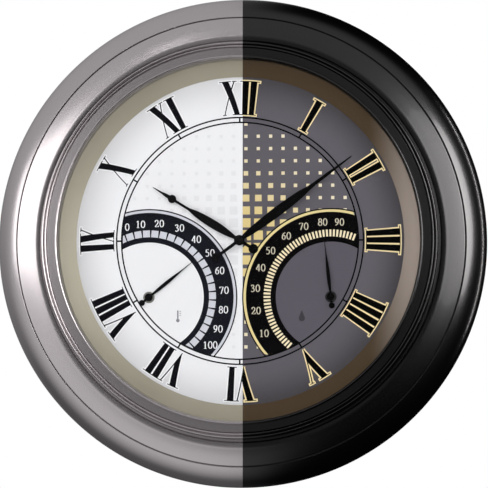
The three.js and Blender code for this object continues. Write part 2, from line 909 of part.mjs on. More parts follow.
// The flush cover over the movement. Its screws sit in counterbores.
function movementHatch() {
  const front = coverRecess - seat;
  const reach = wellGap + hatchOverlap;
  const top = movementTop + reach;
  const outline = roundedPlate(top, movementBottom - reach, top, hatchCorner);
  const body = plate(outline, 0, front, cornerSteps);
  const bores = hatchScrewPlaces().map(([x, z]) =>
    rod(x, z, screwRadius + screwClearance, -overrun, front + overrun, tinySides),
  );
  const counterbores = hatchScrewPlaces().map(([x, z]) =>
    rod(x, z, screwHeadRadius + screwClearance, -overrun, front - hatchScrewFloor, tinySides),
  );
  return part("movement_hatch", cut(body, ...bores, ...counterbores), colours.blackPlastic);
}

function hatchScrews() {
  const headFront = coverRecess - seat - hatchScrewFloor - seat;
  return hatchScrewPlaces().map(([x, z], i) => {
    const head = rod(0, 0, screwHeadRadius, headFront - hatchScrewHead, headFront, tinySides);
    const shank = rod(0, 0, screwRadius, headFront - hatchScrewHead / 2, coverInner + seat, tinySides);
    const mesh = part(`hatch_screw_${i + 1}`, join(head, shank), colours.steel);
    mesh.position.set(x, 0, z);
    return mesh;
  });
}

// Shape of a gear as seen from the front, one tooth centred on the given angle.
function gearShape(teeth, phase, bore) {
  const pitchRadius = (gearModule * teeth) / 2;
  const tip = pitchRadius + gearModule * addendumShare;
  const root = pitchRadius - gearModule * dedendumShare;
  const step = (2 * Math.PI) / teeth;
  const shape = new THREE.Shape();
  for (let i = 0; i < teeth; i += 1) {
    const middle = phase + step * i;
    const flank = [
      [root, -rootThicknessShare / 2],
      [tip, -tipThicknessShare / 2],
      [tip, tipThicknessShare / 2],
      [root, rootThicknessShare / 2],
    ];
    flank.forEach(([radius, share], n) => {
      const turn = middle + step * share;
      if (i === 0 && n === 0) shape.moveTo(radius * Math.cos(turn), radius * Math.sin(turn));
      else shape.lineTo(radius * Math.cos(turn), radius * Math.sin(turn));
    });
  }
  shape.closePath();
  if (bore > 0) shape.holes.push(new THREE.Path().absarc(0, 0, bore, 0, 2 * Math.PI, true));
  return shape;
}

// The angle of a space on one gear that faces a tooth at the given angle on its partner.
function spaceFacing(teeth, turn) {
  return turn + Math.PI / teeth;
}

function minuteArbor() {
  const top = dialFront + minuteHandLift + handThickness + seat;
  const back = minuteWheelBack - seat;
  const phase = spaceFacing(centreLeaves, minuteWheelTurn);
  const leaves = plate(gearShape(centreLeaves, phase, 0), back, back + leafLength);
  const shaft = rod(0, 0, arborRadius, movementCoverBack + seat, top);
  return part("minute_arbor", join(leaves, shaft), colours.steel);
}

// The wheel of the 3:1 pair with the leaves of the 4:1 pair, on one arbor that reaches the setting knob.
function minuteWheel() {
  const phase = minuteWheelTurn + Math.PI;
  const wheel = plate(gearShape(minuteTeeth, phase, 0), minuteWheelBack, minuteWheelFront);
  const leaves = plate(gearShape(minuteLeaves, phase, 0), minuteWheelFront - seat, hourWheelFront + seat);
  const arborBack = movementCoverBack - knobLength;
  const arbor = rod(0, 0, minuteArborRadius, arborBack, movementFront - movementWall / 2, tinySides);
  const mesh = part("minute_wheel", join(wheel, leaves, arbor), colours.brass);
  mesh.position.set(minuteX, 0, minuteZ);
  return mesh;
}

function hourWheel() {
  const top = dialFront + hourHandLift + handThickness + seat;
  const phase = spaceFacing(hourTeeth, minuteWheelTurn);
  const wheel = plate(gearShape(hourTeeth, phase, hourPipeBore), hourWheelBack, hourWheelFront);
  const pipe = hoop(hourPipeBore, hourPipeRadius, hourWheelBack, top, smallSides);
  return part("hour_wheel", join(wheel, pipe), colours.brass);
}

// The ribbed knob that sets the hands, pressed on the minute wheel's arbor.
function setKnob() {
  const front = movementCoverBack - bearingGap;
  const back = front - knobLength;
  const ribbed = new THREE.Shape(
    Array.from({ length: 2 * knobRibs }, (_, i) => {
      const turn = (Math.PI * i) / knobRibs;
      const radius = i % 2 ? knobRadius : knobRadius + knobRibHeight;
      return new THREE.Vector2(radius * Math.cos(turn), radius * Math.sin(turn));
    }),
  );
  const bore = rod(0, 0, minuteArborRadius + bearingGap, back - overrun, front + overrun, tinySides);
  const body = cut(plate(ribbed, back, front), bore);
  const mesh = part("set_knob", body, colours.whitePlastic);
  mesh.position.set(minuteX, 0, minuteZ);
  return mesh;
}

// The front shell of the movement with the wall that parts the cell from the wheels.
function movementCase() {
  const shell = cut(
    movementBlock(0, movementBack, movementFront),
    movementBlock(-movementWall, movementBack - overrun, movementFront - movementWall),
  );
  const divider = block(
    0,
    dividerZ,
    movementInner + movementWall,
    dividerWall,
    movementBack,
    movementFront - movementWall / 2,
  );
  const eyeEdge = statorLegZ - rotorHoleRadius - statorWidth / 4;
  const inWall = movementFront - movementWall / 2;
  const statorPost = rod(statorX, eyeEdge, statorPostRadius, statorFront + seat, inWall, tinySides);
  const boardPost = rod(boardX, boardZ, statorPostRadius, boardFront + seat, inWall, tinySides);
  const bearing = rod(
    minuteX,
    minuteZ,
    minuteArborRadius + bearingGap,
    movementFront - movementWall - overrun,
    inWall + seat,
    tinySides,
  );
  const centreBore = rod(0, 0, bushingRadius + seat, movementBack, movementFront + overrun);
  const body = cut(join(shell, divider, statorPost, boardPost), bearing, centreBore);
  return part("movement_case", body, colours.greyPlastic);
}

// The rear plate of the movement, open at the cell and bored for the arbors.
function movementCover() {
  const back = movementCoverBack - overrun;
  const front = movementCoverFront + overrun;
  const body = movementBlock(0, movementCoverBack, movementCoverFront);
  const window = block(0, movementCellZ, movementInner, 2 * cellRadius - movementWall, back, front);
  const knobHole = rod(minuteX, minuteZ, minuteArborRadius + bearingGap, back, front, tinySides);
  const centreHole = rod(0, 0, arborRadius + bearingGap, back, front);
  return part("movement_cover", cut(body, window, knobHole, centreHole), colours.greyPlastic);
}

// The threaded brass tube that clamps the movement to the dial, with its flange inside the case.
function centreBushing() {
  const flangeRear = movementFront - movementWall - bushingFlangeWall;
  const body = turned(
    [
      [bushingBore, flangeRear],
      [bushingFlangeRadius, flangeRear],
      [bushingFlangeRadius, movementFront - movementWall - seat],
      [bushingRadius, movementFront - movementWall - seat],
      [bushingRadius, dialFront + bushingStand],
      [bushingBore, dialFront + bushingStand],
    ],
    smallSides,
  );
  return part("centre_bushing", body, colours.brass);
}

function rubberWasher() {
  const ring = hoop(
    bushingRadius + shaftHoleGap,
    rubberWasherRadius,
    rubberWasherBack,
    rubberWasherBack + rubberWasherThickness,
    smallSides,
  );
  return part("rubber_washer", ring, colours.rubber);
}

function dialWasher() {
  const back = dialFront + seat;
  const ring = hoop(bushingRadius + seat, dialWasherRadius, back, back + dialWasherThickness, smallSides);
  return part("dial_washer", ring, colours.brass);
}

function hexNut() {
  const back = dialFront + seat + dialWasherThickness + seat;
  const corner = nutAcrossFlats / 2 / Math.cos(Math.PI / hexSides);
  const body = cut(
    rod(0, 0, corner, back, back + nutThickness, hexSides),
    rod(0, 0, bushingRadius + seat, back - overrun, back + nutThickness + overrun),
  );
  return part("hex_nut", body, colours.brass);
}

// A round cell along an axis, its nub towards +.
function cellSolid(turnToX) {
  const body = new THREE.CylinderGeometry(cellRadius, cellRadius, cellLength, smallSides);
  const nub = new THREE.CylinderGeometry(cellNubRadius, cellNubRadius, 2 * cellNubLength, tinySides);
  nub.translate(0, cellLength / 2, 0);
  const whole = join(solid(body), solid(nub));
  return turnToX ? whole.rotate([0, 0, -90]) : whole.rotate([90, 0, 0]);
}

function movementCell() {
  const mesh = part("movement_cell", cellSolid(true), colours.cell);
  mesh.position.set(-cellNubLength / 2, -movementCellDepth, movementCellZ);
  return mesh;
}

// The leaf contacts at the two ends of the movement's cell.
function cellContacts() {
  const leaf = (name, side) =>
    part(
      name,
      block(
        side * (movementInner / 2 - seat - contactThickness / 2),
        movementCellZ,
        contactThickness,
        contactWidth,
        movementBack + seat,
        movementFront - movementWall - seat,
      ),
      colours.steel,
    );
  return [leaf("cell_contact_plus", 1), leaf("cell_contact_minus", -1)];
}

// The flat iron of the motor: a bar under the coil and a leg to the rotor hole.
function stator() {
  const bar = block(statorX, statorZ, coilLength, statorWidth, statorBack, statorFront);
  const eye = rod(statorX, statorLegZ, rotorHoleRadius + statorWidth / 2, statorBack, statorFront);
  const leg = block(
    statorX,
    (statorZ + statorLegZ + rotorHoleRadius) / 2,
    statorWidth,
    statorZ - statorLegZ - rotorHoleRadius,
    statorBack,
    statorFront,
  );
  const hole = rod(statorX, statorLegZ, rotorHoleRadius, statorBack - overrun, statorFront + overrun);
  return part("stator", cut(join(bar, leg, eye), hole), colours.steel);
}

// The wound coil on its bobbin, lying behind the stator bar.
function motorCoil() {
  const wound = coilRadius - coilCheek / 2;
  const winding = new THREE.CylinderGeometry(wound, wound, coilLength - 2 * coilCheek, smallSides);
  const cheek = (side) => {
    const disc = new THREE.CylinderGeometry(coilRadius, coilRadius, coilCheek, smallSides);
    disc.translate(0, (side * (coilLength - coilCheek)) / 2, 0);
    return solid(disc);
  };
  const whole = join(solid(winding), cheek(-1), cheek(1)).rotate([0, 0, 90]);
  const mesh = part("motor_coil", whole, colours.copper);
  mesh.position.set(statorX, -(statorFront + seat + coilRadius), statorZ);
  return mesh;
}

// The small board with its crystal can.
function circuitBoard() {
  const board = block(boardX, boardZ, boardWidth, boardHeight, boardFront - boardThickness, boardFront);
  const can = new THREE.CylinderGeometry(crystalRadius, crystalRadius, crystalLength, tinySides);
  can.rotateZ(Math.PI / 2);
  can.translate(boardX, -(boardFront - boardThickness - crystalRadius / 2), boardZ);
  return part("circuit_board", join(board, solid(can)), colours.board);
}

// The flat outline of a hand that points up: a leaf with a long tip, and a tail bar.
function handOutline({ shares, length, width, tail }) {
  const edge = shares.map(([along, across]) => [along * length, (across * width) / 2]);
  const neck = handNeckWidth / 2;
  const tip = handTipWidth / 2;
  const points = [
    [-neck, -tail],
    [-neck, 0],
    ...edge.map(([along, across]) => [-across, along]),
    [-tip, length - tip],
    [0, length],
    [tip, length - tip],
    ...edge.map(([along, across]) => [across, along]).reverse(),
    [neck, 0],
    [neck, -tail],
  ];
  return new THREE.Shape(points.map(([x, y]) => new THREE.Vector2(x, y)));
}

// A hand cut from sheet, with its round hub and the ball of its tail.
function sheetHand(sizes, back) {
  const front = back + handThickness;
  return join(
    plate(handOutline(sizes), back, front),
    rod(0, 0, sizes.hub, back, front),
    rod(0, -sizes.tail, sizes.ball, back, front),
  );
}

function minuteHand() {
  const back = dialFront + minuteHandLift;
  const sheet = sheetHand(
    {
      shares: minuteShares,
      length: minuteHandLength,
      width: minuteHandWidth,
      hub: handHubRadius,
      tail: minuteHandTail,
      ball: minuteTailBallRadius,
    },
    back,
  );
  const bore = rod(0, 0, arborRadius + bearingGap, back - overrun, back + handThickness + overrun);
  const mesh = part("minute_hand", cut(sheet, bore), colours.handBlack);
  mesh.rotation.y = minuteHandTurn;
  return mesh;
}

function hourHand() {
  const back = dialFront + hourHandLift;
  const front = back + handThickness;
  const sheet = sheetHand(
    {
      shares: hourShares,
      length: hourHandLength,
      width: hourHandWidth,
      hub: handHubRadius,
      tail: hourHandTail,
      ball: hourTailBallRadius,
    },
    back,
  );
  const ball = rod(0, hourHandLength * hourBallShare, hourBallRadius, back, front);
  const bore = rod(0, 0, hourPipeRadius + bearingGap, back - overrun, front + overrun);
  const mesh = part("hour_hand", cut(join(sheet, ball), bore), colours.handBlack);
  mesh.rotation.y = hourHandTurn;
  return mesh;
}

// The cap nut that holds the minute hand on its arbor.
function handCap() {
  const back = dialFront + minuteHandLift + handThickness + seat;
  const bore = rod(0, 0, arborRadius + bearingGap, back - overrun, back + seat, smallSides);
  const cap = spun(
    [
      [0, back],
      [capRadius, back],
      [capRadius, back + capHeight / 2],
      [capRadius * Math.SQRT1_2, back + capHeight * capShoulderShare],
      [0, back + capHeight],
    ],
    smallSides,
  );
  return part("hand_cap", cut(cap, bore), colours.handBlack);
}

// The pointer of an instrument with its hub and the spindle that reaches the coil.
function pointer(name, x, turn) {
  const back = dialFront + pointerLift;
  const front = back + handThickness;
  const sheet = sheetHand(
    {
      shares: pointerShares,
      length: pointerLength,
      width: pointerWidth,
      hub: pointerHubRadius,
      tail: pointerTail,
      ball: pointerBallRadius,
    },
    back,
  );
  const body = join(
    sheet,
    rod(0, 0, pointerHubRadius, back, front + pointerHubHeight),
    rod(0, 0, spindleRadius, cupBack + cupCapWall + seat, front, tinySides),
  );
  const mesh = part(name, body, colours.handBlack);
  mesh.position.set(x, 0, -subDialDrop);
  mesh.rotation.y = turn;
  return mesh;
}

// An open cup with a bridge across its back that carries the spindle's end and the coil's post.
function cup(name, x) {
  const wall = hoop(cupRadius - cupWall, cupRadius, cupBack, cupFront, cupSides);
  const bridge = block(0, 0, 2 * cupRadius - cupWall, cupWindow / 2, cupBack, cupBack + cupCapWall);
  const rim = hoop(cupWindow, cupRadius - cupWall / 2, cupFront - cupCapWall, cupFront, cupSides);
  const post = rod(
    coilInnerRadius + coilPitch * coilTurns + coilStripWidth / 2 + seat + coilPostRadius,
    0,
    coilPostRadius,
    cupBack,
    cupBack + cupCapWall + coilStripHeight + seat,
    tinySides,
  );
  const mesh = part(name, join(wall, bridge, rim, post), colours.blackPlastic);
  mesh.position.set(x, 0, -subDialDrop);
  return mesh;
}

// The flat spiral strip that turns an instrument's spindle.
function spiral(name, x, material) {
  const steps = coilTurns * spiralSides;
  const edge = (side) =>
    Array.from({ length: steps + 1 }, (_, i) => {
      const turn = (2 * Math.PI * i) / spiralSides;
      const radius = coilInnerRadius + (coilPitch * i) / spiralSides + (side * coilStripWidth) / 2;
      return new THREE.Vector2(radius * Math.cos(turn), radius * Math.sin(turn));
    });
  const shape = new THREE.Shape([...edge(1), ...edge(-1).reverse()]);
  const back = cupBack + cupCapWall + seat;
  const hub = hoop(
    spindleRadius + bearingGap,
    coilInnerRadius - coilStripWidth / 4,
    back,
    back + coilStripHeight,
    tinySides,
  );
  const body = join(plate(shape, back, back + coilStripHeight), hub);
  const mesh = part(name, body, material);
  mesh.position.set(x, 0, -subDialDrop);
  return mesh;
}

// The tray that holds the four lamp cells side by side, open at the back.
function batteryTray() {
  const outsideWidth = bayWidth + 2 * batteryWall;
  const outsideHeight = bayHeight + 2 * batteryWall;
  const shell = cut(
    block(0, -trayDrop, outsideWidth, outsideHeight, batteryBack, batteryFront),
    block(0, -trayDrop, bayWidth, bayHeight, batteryBack - overrun, batteryFront - batteryWall),
  );
  return part("battery_tray", shell, colours.blackPlastic);
}

function lampCells() {
  return Array.from({ length: cellCount }, (_, i) => {
    const up = i % 2 ? -1 : 1;
    const mesh = part(`lamp_cell_${i + 1}`, cellSolid(false), colours.cell);
    mesh.position.set(
      (i - (cellCount - 1) / 2) * cellPitch,
      -(batteryFront - batteryWall - seat - cellRadius),
      -trayDrop - (up * cellNubLength) / 2,
    );
    mesh.rotation.y = up > 0 ? 0 : Math.PI;
    return mesh;
  });
}

// The strips across the ends of the lamp cells.
function contactStrips() {
  const strip = (name, side) =>
    part(
      name,
      block(
        0,
        -trayDrop + side * (bayHeight / 2 - seat - contactThickness / 2),
        bayWidth - 2 * cellGap,
        contactThickness,
        batteryBack + batteryWall,
        batteryFront - batteryWall - seat,
      ),
      colours.steel,
    );
  return [strip("contact_strip_top", 1), strip("contact_strip_bottom", -1)];
}

// The door over the lamp cells, with its knuckle on the hinge pin and a latch tongue at the bottom.
function batteryDoor() {
  const middle = (doorTop + doorBottom) / 2;
  const leaf = block(0, middle, doorWidth, doorTop - doorBottom, doorSetback, doorFront);
  const barrelLength = doorWidth - 2 * hingeKnuckle - 2 * seat;
  const barrel = hingeRod(hingeRadius, barrelLength);
  const web = block(
    0,
    hingeLine - webInset - webHeight / 2,
    barrelLength,
    webHeight,
    hingeDepth - webReach,
    doorFront,
  );
  const tongueZ = latchLine + latchThickness / 2;
  const tongue = block(0, tongueZ, latchWidth, latchThickness, doorFront - seat, coverInner + latchReach);
  const hook = block(
    0,
    latchLine - latchThickness / 2,
    latchWidth,
    2 * latchThickness - seat,
    coverInner + seat,
    coverInner + latchReach,
  );
  const bore = hingeRod(hingePinRadius + seat, doorWidth + overrun);
  return part("battery_door", cut(join(leaf, barrel, web, tongue, hook), bore), colours.blackPlastic);
}

// A rod along X on the door's hinge line.
function hingeRod(radius, length) {
  const geometry = new THREE.CylinderGeometry(radius, radius, length, tinySides);
  geometry.rotateZ(Math.PI / 2);
  geometry.translate(0, -hingeDepth, hingeLine);
  return solid(geometry);
}

function doorPin() {
  return part("door_pin", hingeRod(hingePinRadius, doorPinLength), colours.steel);
}

// The slide switch: an open-backed body under the cover and the knob that shows through it.
function switchBody() {
  const back = coverInner + seat;
  const shell = cut(
    block(switchX, -trayDrop, switchWidth, switchHeight, back, back + switchDepth),
    block(
      switchX,
      -trayDrop,
      switchWidth - 2 * switchWall,
      switchHeight - 2 * switchWall,
      back - overrun,
      back + switchDepth - switchWall,
    ),
  );
  return part("switch_body", shell, colours.greyPlastic);
}

function switchKnob() {
  const slider = block(
    switchX - switchTravel,
    -trayDrop,
    switchWidth - 2 * switchWall - 2 * switchTravel - 2 * seat,
    switchHeight - 2 * switchWall - 2 * seat,
    coverInner + seat,
    coverInner + switchDepth - switchWall,
  );
  const stem = block(
    switchX - switchTravel,
    -trayDrop,
    switchKnobWidth,
    switchKnobHeight,
    coverRecess - switchKnobStand,
    coverInner + seat + overrun,
  );
  return part("switch_knob", join(slider, stem), colours.whitePlastic);
}

// Gathers sub-parts under one group of the scene.
function assembly(...pieces) {
  const group = new THREE.Group();
  group.add(...pieces.flat());
  return group;
}

const clock = assembly(
  assembly(caseRing(), bezelRing(), lens(), lensGasket(), reflectorRing()),
  assembly(dialPlate(), lightGuide(), ledRing(), lightTray()),
  assembly(
    backCover(),
    backGasket(),
    backScrews(),
    hangerPlate(),
    hangerScrews(),
    movementHatch(),
    hatchScrews(),
  ),
  assembly(
    movementCase(),
    movementCover(),
    centreBushing(),
    rubberWasher(),
    dialWasher(),
    hexNut(),
    movementCell(),
    cellContacts(),
    stator(),
    motorCoil(),
    circuitBoard(),
    minuteArbor(),
    minuteWheel(),
    hourWheel(),
    setKnob(),
  ),
  assembly(hourHand(), minuteHand(), handCap()),
  assembly(
    cup("thermo_cup", -subDialOffset),
    spiral("thermo_coil", -subDialOffset, colours.copper),
    pointer("thermo_pointer", -subDialOffset, thermoTurn),
    cup("hygro_cup", subDialOffset),
    spiral("hygro_coil", subDialOffset, colours.brass),
    pointer("hygro_pointer", subDialOffset, hygroTurn),
  ),
  assembly(
    batteryTray(),
    lampCells(),
    contactStrips(),
    batteryDoor(),
    doorPin(),
    switchBody(),
    switchKnob(),
  ),
);

export default clock;
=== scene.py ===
from functools import partial
from math import asin, cos, dist, hypot, pi, radians, sin, sqrt, tan
import bpy
import bmesh
from mathutils import Matrix, Vector


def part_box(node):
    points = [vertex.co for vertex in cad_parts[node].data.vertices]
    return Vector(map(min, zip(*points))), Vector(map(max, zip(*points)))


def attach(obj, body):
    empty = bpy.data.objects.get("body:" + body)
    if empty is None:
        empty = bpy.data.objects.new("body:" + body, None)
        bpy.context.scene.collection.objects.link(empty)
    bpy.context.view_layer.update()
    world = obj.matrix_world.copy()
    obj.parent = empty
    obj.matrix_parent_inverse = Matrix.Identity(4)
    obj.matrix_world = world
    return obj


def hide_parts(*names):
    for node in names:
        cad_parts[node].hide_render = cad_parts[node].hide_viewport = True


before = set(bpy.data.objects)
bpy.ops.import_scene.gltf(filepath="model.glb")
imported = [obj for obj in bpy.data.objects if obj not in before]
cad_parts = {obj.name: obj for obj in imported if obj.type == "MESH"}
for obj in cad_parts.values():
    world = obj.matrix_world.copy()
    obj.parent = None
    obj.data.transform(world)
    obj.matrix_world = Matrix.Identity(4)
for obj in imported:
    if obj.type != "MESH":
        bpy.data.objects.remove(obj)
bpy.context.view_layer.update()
print("frame loaded,", len(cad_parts), "nodes")

# The clock's axis runs along Y through the origin, the wall is y = 0 and the dial faces -Y.
# Sizes below are millimetres, depths are counted from the wall towards the front.
clock = {
    "viewTurn": 4.2,        # degrees the camera stands to the right of the axis
    "viewDrop": 4.1,        # degrees the camera stands below the axis
    # True paints the right half in painted night shade and painted glow
    "paintedNightHalf": True,      # False shows the whole clock by day
    "dialFront": 37.0,
    "ringSteps": 360,
}


# Small helpers
def linearColour(hexText):
    parts = [int(hexText[i:i + 2], 16) / 255 for i in (1, 3, 5)]
    linear = [c / 12.92 if c <= 0.04045 else ((c + 0.055) / 1.055) ** 2.4 for c in parts]
    return (*linear, 1.0)


def setInputs(node, values):
    # A value is a constant, a colour as sRGB hex, a socket, or a node that gives its first output.
    for key, value in values.items():
        if isinstance(value, bpy.types.Node):
            value = next(socket for socket in value.outputs if socket.enabled)
        if isinstance(value, bpy.types.NodeSocket):
            node.id_data.links.new(value, node.inputs[key])
        else:
            value = linearColour(value) if isinstance(value, str) else value
            node.inputs[key].default_value = value


def addNode(tree, kind, inputs=None, **settings):
    # Mix takes its factor at 0 and colours at 6 and 7, Map Range a value at 0, then from and to.
    node = tree.nodes.new(kind)
    for key, value in settings.items():
        setattr(node, key, value)
    setInputs(node, inputs or {})
    return node


def link(piece):
    bpy.context.scene.collection.objects.link(piece)
    return piece


def meshPiece(name, points=(), edges=(), faces=(), material=None):
    mesh = bpy.data.meshes.new(name)
    mesh.from_pydata(points, edges, faces)
    mesh.validate()
    if material:
        mesh.materials.append(material)
    return link(bpy.data.objects.new(name, mesh))


def workPiece(name, work, material=None, sharpAngle=None, flat=False):
    # Makes a piece of a bmesh, its faces outwards, or all to the front where it is flat print.
    if flat:
        work.normal_update()
        bmesh.ops.reverse_faces(work, faces=[face for face in work.faces if face.normal.y > 0])
    else:
        bmesh.ops.recalc_face_normals(work, faces=work.faces)
    mesh = bpy.data.meshes.new(name)
    work.to_mesh(mesh)
    work.free()
    if material:
        mesh.materials.append(material)
    if sharpAngle:
        mesh.shade_smooth()
        mesh.set_sharp_from_angle(angle=radians(sharpAngle))
    return link(bpy.data.objects.new(name, mesh))


def at(x, depth, z):
    return (x / 1000, -depth / 1000, z / 1000)


def between(low, high, share):
    return low + (high - low) * share


def polar(radius, turn, x=0.0, z=0.0):
    return (x + radius * cos(turn), z + radius * sin(turn))


def arc(radius, first, last, steps, x=0.0, z=0.0):
    # first and last in degrees, from +X or from the outward direction of a profile
    return [polar(radius, radians(between(first, last, i / steps)), x, z) for i in range(steps + 1)]


def circle(radius, steps, x=0.0, z=0.0):
    return arc(radius, 0, 360, steps, x, z)[:-1]


def joinRows(work, rows):
    # walls between rings of corners that follow each other
    for low, high in zip(rows, rows[1:]):
        for i in range(len(low)):
            j = (i + 1) % len(low)
            work.faces.new((low[i], low[j], high[j], high[i]))


def turnedRows(work, outline, steps, x=0.0, z=0.0):
    # one ring of corners for each (radius, depth)
    return [[work.verts.new(at(px, depth, pz)) for px, pz in circle(radius, steps, x, z)]
            for radius, depth in outline]


# Finishes
def newMaterial(name, **constants):
    material = bpy.data.materials.new(name)
    material.use_nodes = True
    shader = material.node_tree.nodes["Principled BSDF"]
    add = partial(addNode, material.node_tree)
    setInputs(shader, {key.replace("_", " "): value for key, value in constants.items()})
    return material, shader, add, add("ShaderNodeTexCoord").outputs["Object"]


def dayOrPaintedNight(add, place, day, night):
    # Painted night lighting: the half beyond a fixed upright plane through the clock's axis takes
    # the night colour, which is painted shade, or painted glow on the glowing inks
    axes = add("ShaderNodeSeparateXYZ", {0: place})
    side = add("ShaderNodeMath",
               {0: axes.outputs["Y"], 1: tan(radians(clock["viewTurn"])), 2: axes.outputs["X"]},
               operation="MULTIPLY_ADD")
    limit = 0.0 if clock["paintedNightHalf"] else 9.0  # 9 m lies beyond every piece
    over = add("ShaderNodeMath", {0: side, 1: limit}, operation="GREATER_THAN")
    return add("ShaderNodeMix", {0: over, 6: day, 7: night}, data_type="RGBA")


def caseCoat():
    # Moulded ABS under a satin metallic coat: broad soft reflections, faint flake and orange peel.
    # On the night half its pewter base colour is painted near-black as night shade.
    material, shader, add, place = newMaterial(
        "satinMetallicCoatOnAbs", Metallic=1.0, Roughness=0.23, Coat_Weight=0.15,
        Coat_Roughness=0.05, Specular_Tint="#cbcbcb")
    flake = add("ShaderNodeTexNoise",
                {"Vector": place, "Scale": 1600.0, "Detail": 2.0})  # 0.6 mm flake
    peel = add("ShaderNodeTexNoise",
               {"Vector": place, "Scale": 420.0, "Detail": 1.0})  # 2.4 mm peel
    pewter = add("ShaderNodeMix", {0: flake, 6: "#b5aeaf", 7: "#c5bebf"}, data_type="RGBA")
    # painted night shade: a near-black base colour for the night half of the same pewter coat
    nightShadeTone = add("ShaderNodeMix", {0: flake, 6: "#353434", 7: "#3e3d3d"}, data_type="RGBA")
    bump = add("ShaderNodeBump", {"Height": peel, "Strength": 0.03, "Distance": 0.0002})
    setInputs(shader, {"Base Color": dayOrPaintedNight(add, place, pewter, nightShadeTone), "Normal": bump})
    return material


def champagneCoat():
    # Vacuum-metallised ABS lacquered champagne: a dull warm shine, faintly clouded. By night its
    # colour is painted: brown shade where the case shades it, lightening to a painted pale
    # reflection towards three o'clock.
    material, shader, add, place = newMaterial("champagneLacquer", Metallic=0.1, Roughness=0.5,
                                               Specular_IOR_Level=0.2)
    cloud = add("ShaderNodeTexNoise",
                {"Vector": place, "Scale": 14.0, "Detail": 2.0})  # 70 mm clouds
    axes = add("ShaderNodeSeparateXYZ", {0: place})
    # painted night reflection: the brown shade pales towards +X, three o'clock
    across = add("ShaderNodeMapRange", {0: axes.outputs["X"], 1: 0.118, 2: 0.168},
                 interpolation_type="SMOOTHSTEP")
    day = add("ShaderNodeMix", {0: cloud, 6: "#9c9684", 7: "#a7a190"}, data_type="RGBA")
    night = add("ShaderNodeMix", {0: across, 6: "#4a3b28", 7: "#a3968c"}, data_type="RGBA")
    setInputs(shader, {"Base Color": dayOrPaintedNight(add, place, day, night)})
    return material


def dialFilm():
    # Screen-printed polycarbonate film: white by day, and by night a painted smoky grey shade with
    # a warm bleed. Towards the rim both halves darken in painted shade cast by the reflector wall.
    material, shader, add, place = newMaterial("printedDialFilm", Roughness=0.55,
                                               Specular_IOR_Level=0.3)
    cloud = add("ShaderNodeTexNoise",
                {"Vector": place, "Scale": 9.0, "Detail": 2.0})  # 110 mm clouds
    reach = add("ShaderNodeVectorMath", {0: place}, operation="LENGTH")
    # painted shade from the reflector wall, darker towards the rim
    rimShade = add("ShaderNodeMapRange", {0: reach, 1: 0.124, 2: 0.166}, interpolation_type="SMOOTHSTEP")
    sides = []
    # each row: dull and bright tone, then the painted rim shade; the second row is the painted
    # night shade
    for dull, bright, edge in (("#f0f0f2", "#f6f6f8", "#d6d6d8"),
                               ("#57535a", "#5d5961", "#373438")):
        clouded = add("ShaderNodeMix", {0: cloud, 6: dull, 7: bright}, data_type="RGBA")
        sides.append(add("ShaderNodeMix", {0: rimShade, 6: clouded, 7: edge}, data_type="RGBA"))
    setInputs(shader, {"Base Color": dayOrPaintedNight(add, place, *sides)})
    return material


def ink(name, dayHex, paintedNightHex, glow=0.0, shine=0.12, hubGlowHex=""):
    # Screen ink on the film: opaque by day. By night its colour is painted: where the ink is left
    # open a painted glow stands for the panel shining through, in a deeper yellow near the hub if a
    # hub colour is given; other inks take a painted night shade.
    material, shader, add, place = newMaterial(name, Roughness=0.6, Specular_IOR_Level=shine)
    night = paintedNightHex
    if hubGlowHex:
        # painted glow: a deeper yellow pool towards the hub
        reach = add("ShaderNodeVectorMath", {0: place}, operation="LENGTH")
        outward = add("ShaderNodeMapRange", {0: reach, 1: 0.045, 2: 0.1})
        night = add("ShaderNodeMix", {0: outward, 6: hubGlowHex, 7: paintedNightHex}, data_type="RGBA")
    # painted glow: emission on the night half only
    if glow:
        setInputs(shader, {"Emission Color": dayOrPaintedNight(add, place, "#000000", night),
                           "Emission Strength": glow})
        night = "#191919"
    setInputs(shader, {"Base Color": dayOrPaintedNight(add, place, dayHex, night)})
    return material


def plainMaterial(name, hexText, roughness, metallic=0.0, grain=0.0, grainScale=900.0,
                  paintedNightHex="", **constants):
    # Colour with a fine grain in both tone and height, at a real scale.
    material, shader, add, place = newMaterial(name, Roughness=roughness, Metallic=metallic,
                                               **constants)
    noise = add("ShaderNodeTexNoise", {"Vector": place, "Scale": grainScale, "Detail": 3.0})
    colour = linearColour(hexText)
    darker = tuple(c * 0.82 for c in colour[:3]) + (1.0,)
    tone = add("ShaderNodeMix", {0: noise, 6: darker, 7: colour}, data_type="RGBA")
    # on the night half the tone gives way to a painted night shade
    if paintedNightHex:
        tone = dayOrPaintedNight(add, place, tone, paintedNightHex)
    setInputs(shader, {"Base Color": tone})
    if grain:
        bump = add("ShaderNodeBump", {"Height": noise, "Strength": grain, "Distance": 0.0003})
        setInputs(shader, {"Normal": bump})
    return material


coat = caseCoat()
champagne = champagneCoat()
film = dialFilm()
# clear flat float glass: it only shows where it catches a lamp
glass = newMaterial("clearFlatGlass", Roughness=0.02, Alpha=0.05, Base_Color="#0c0d0d")[0]
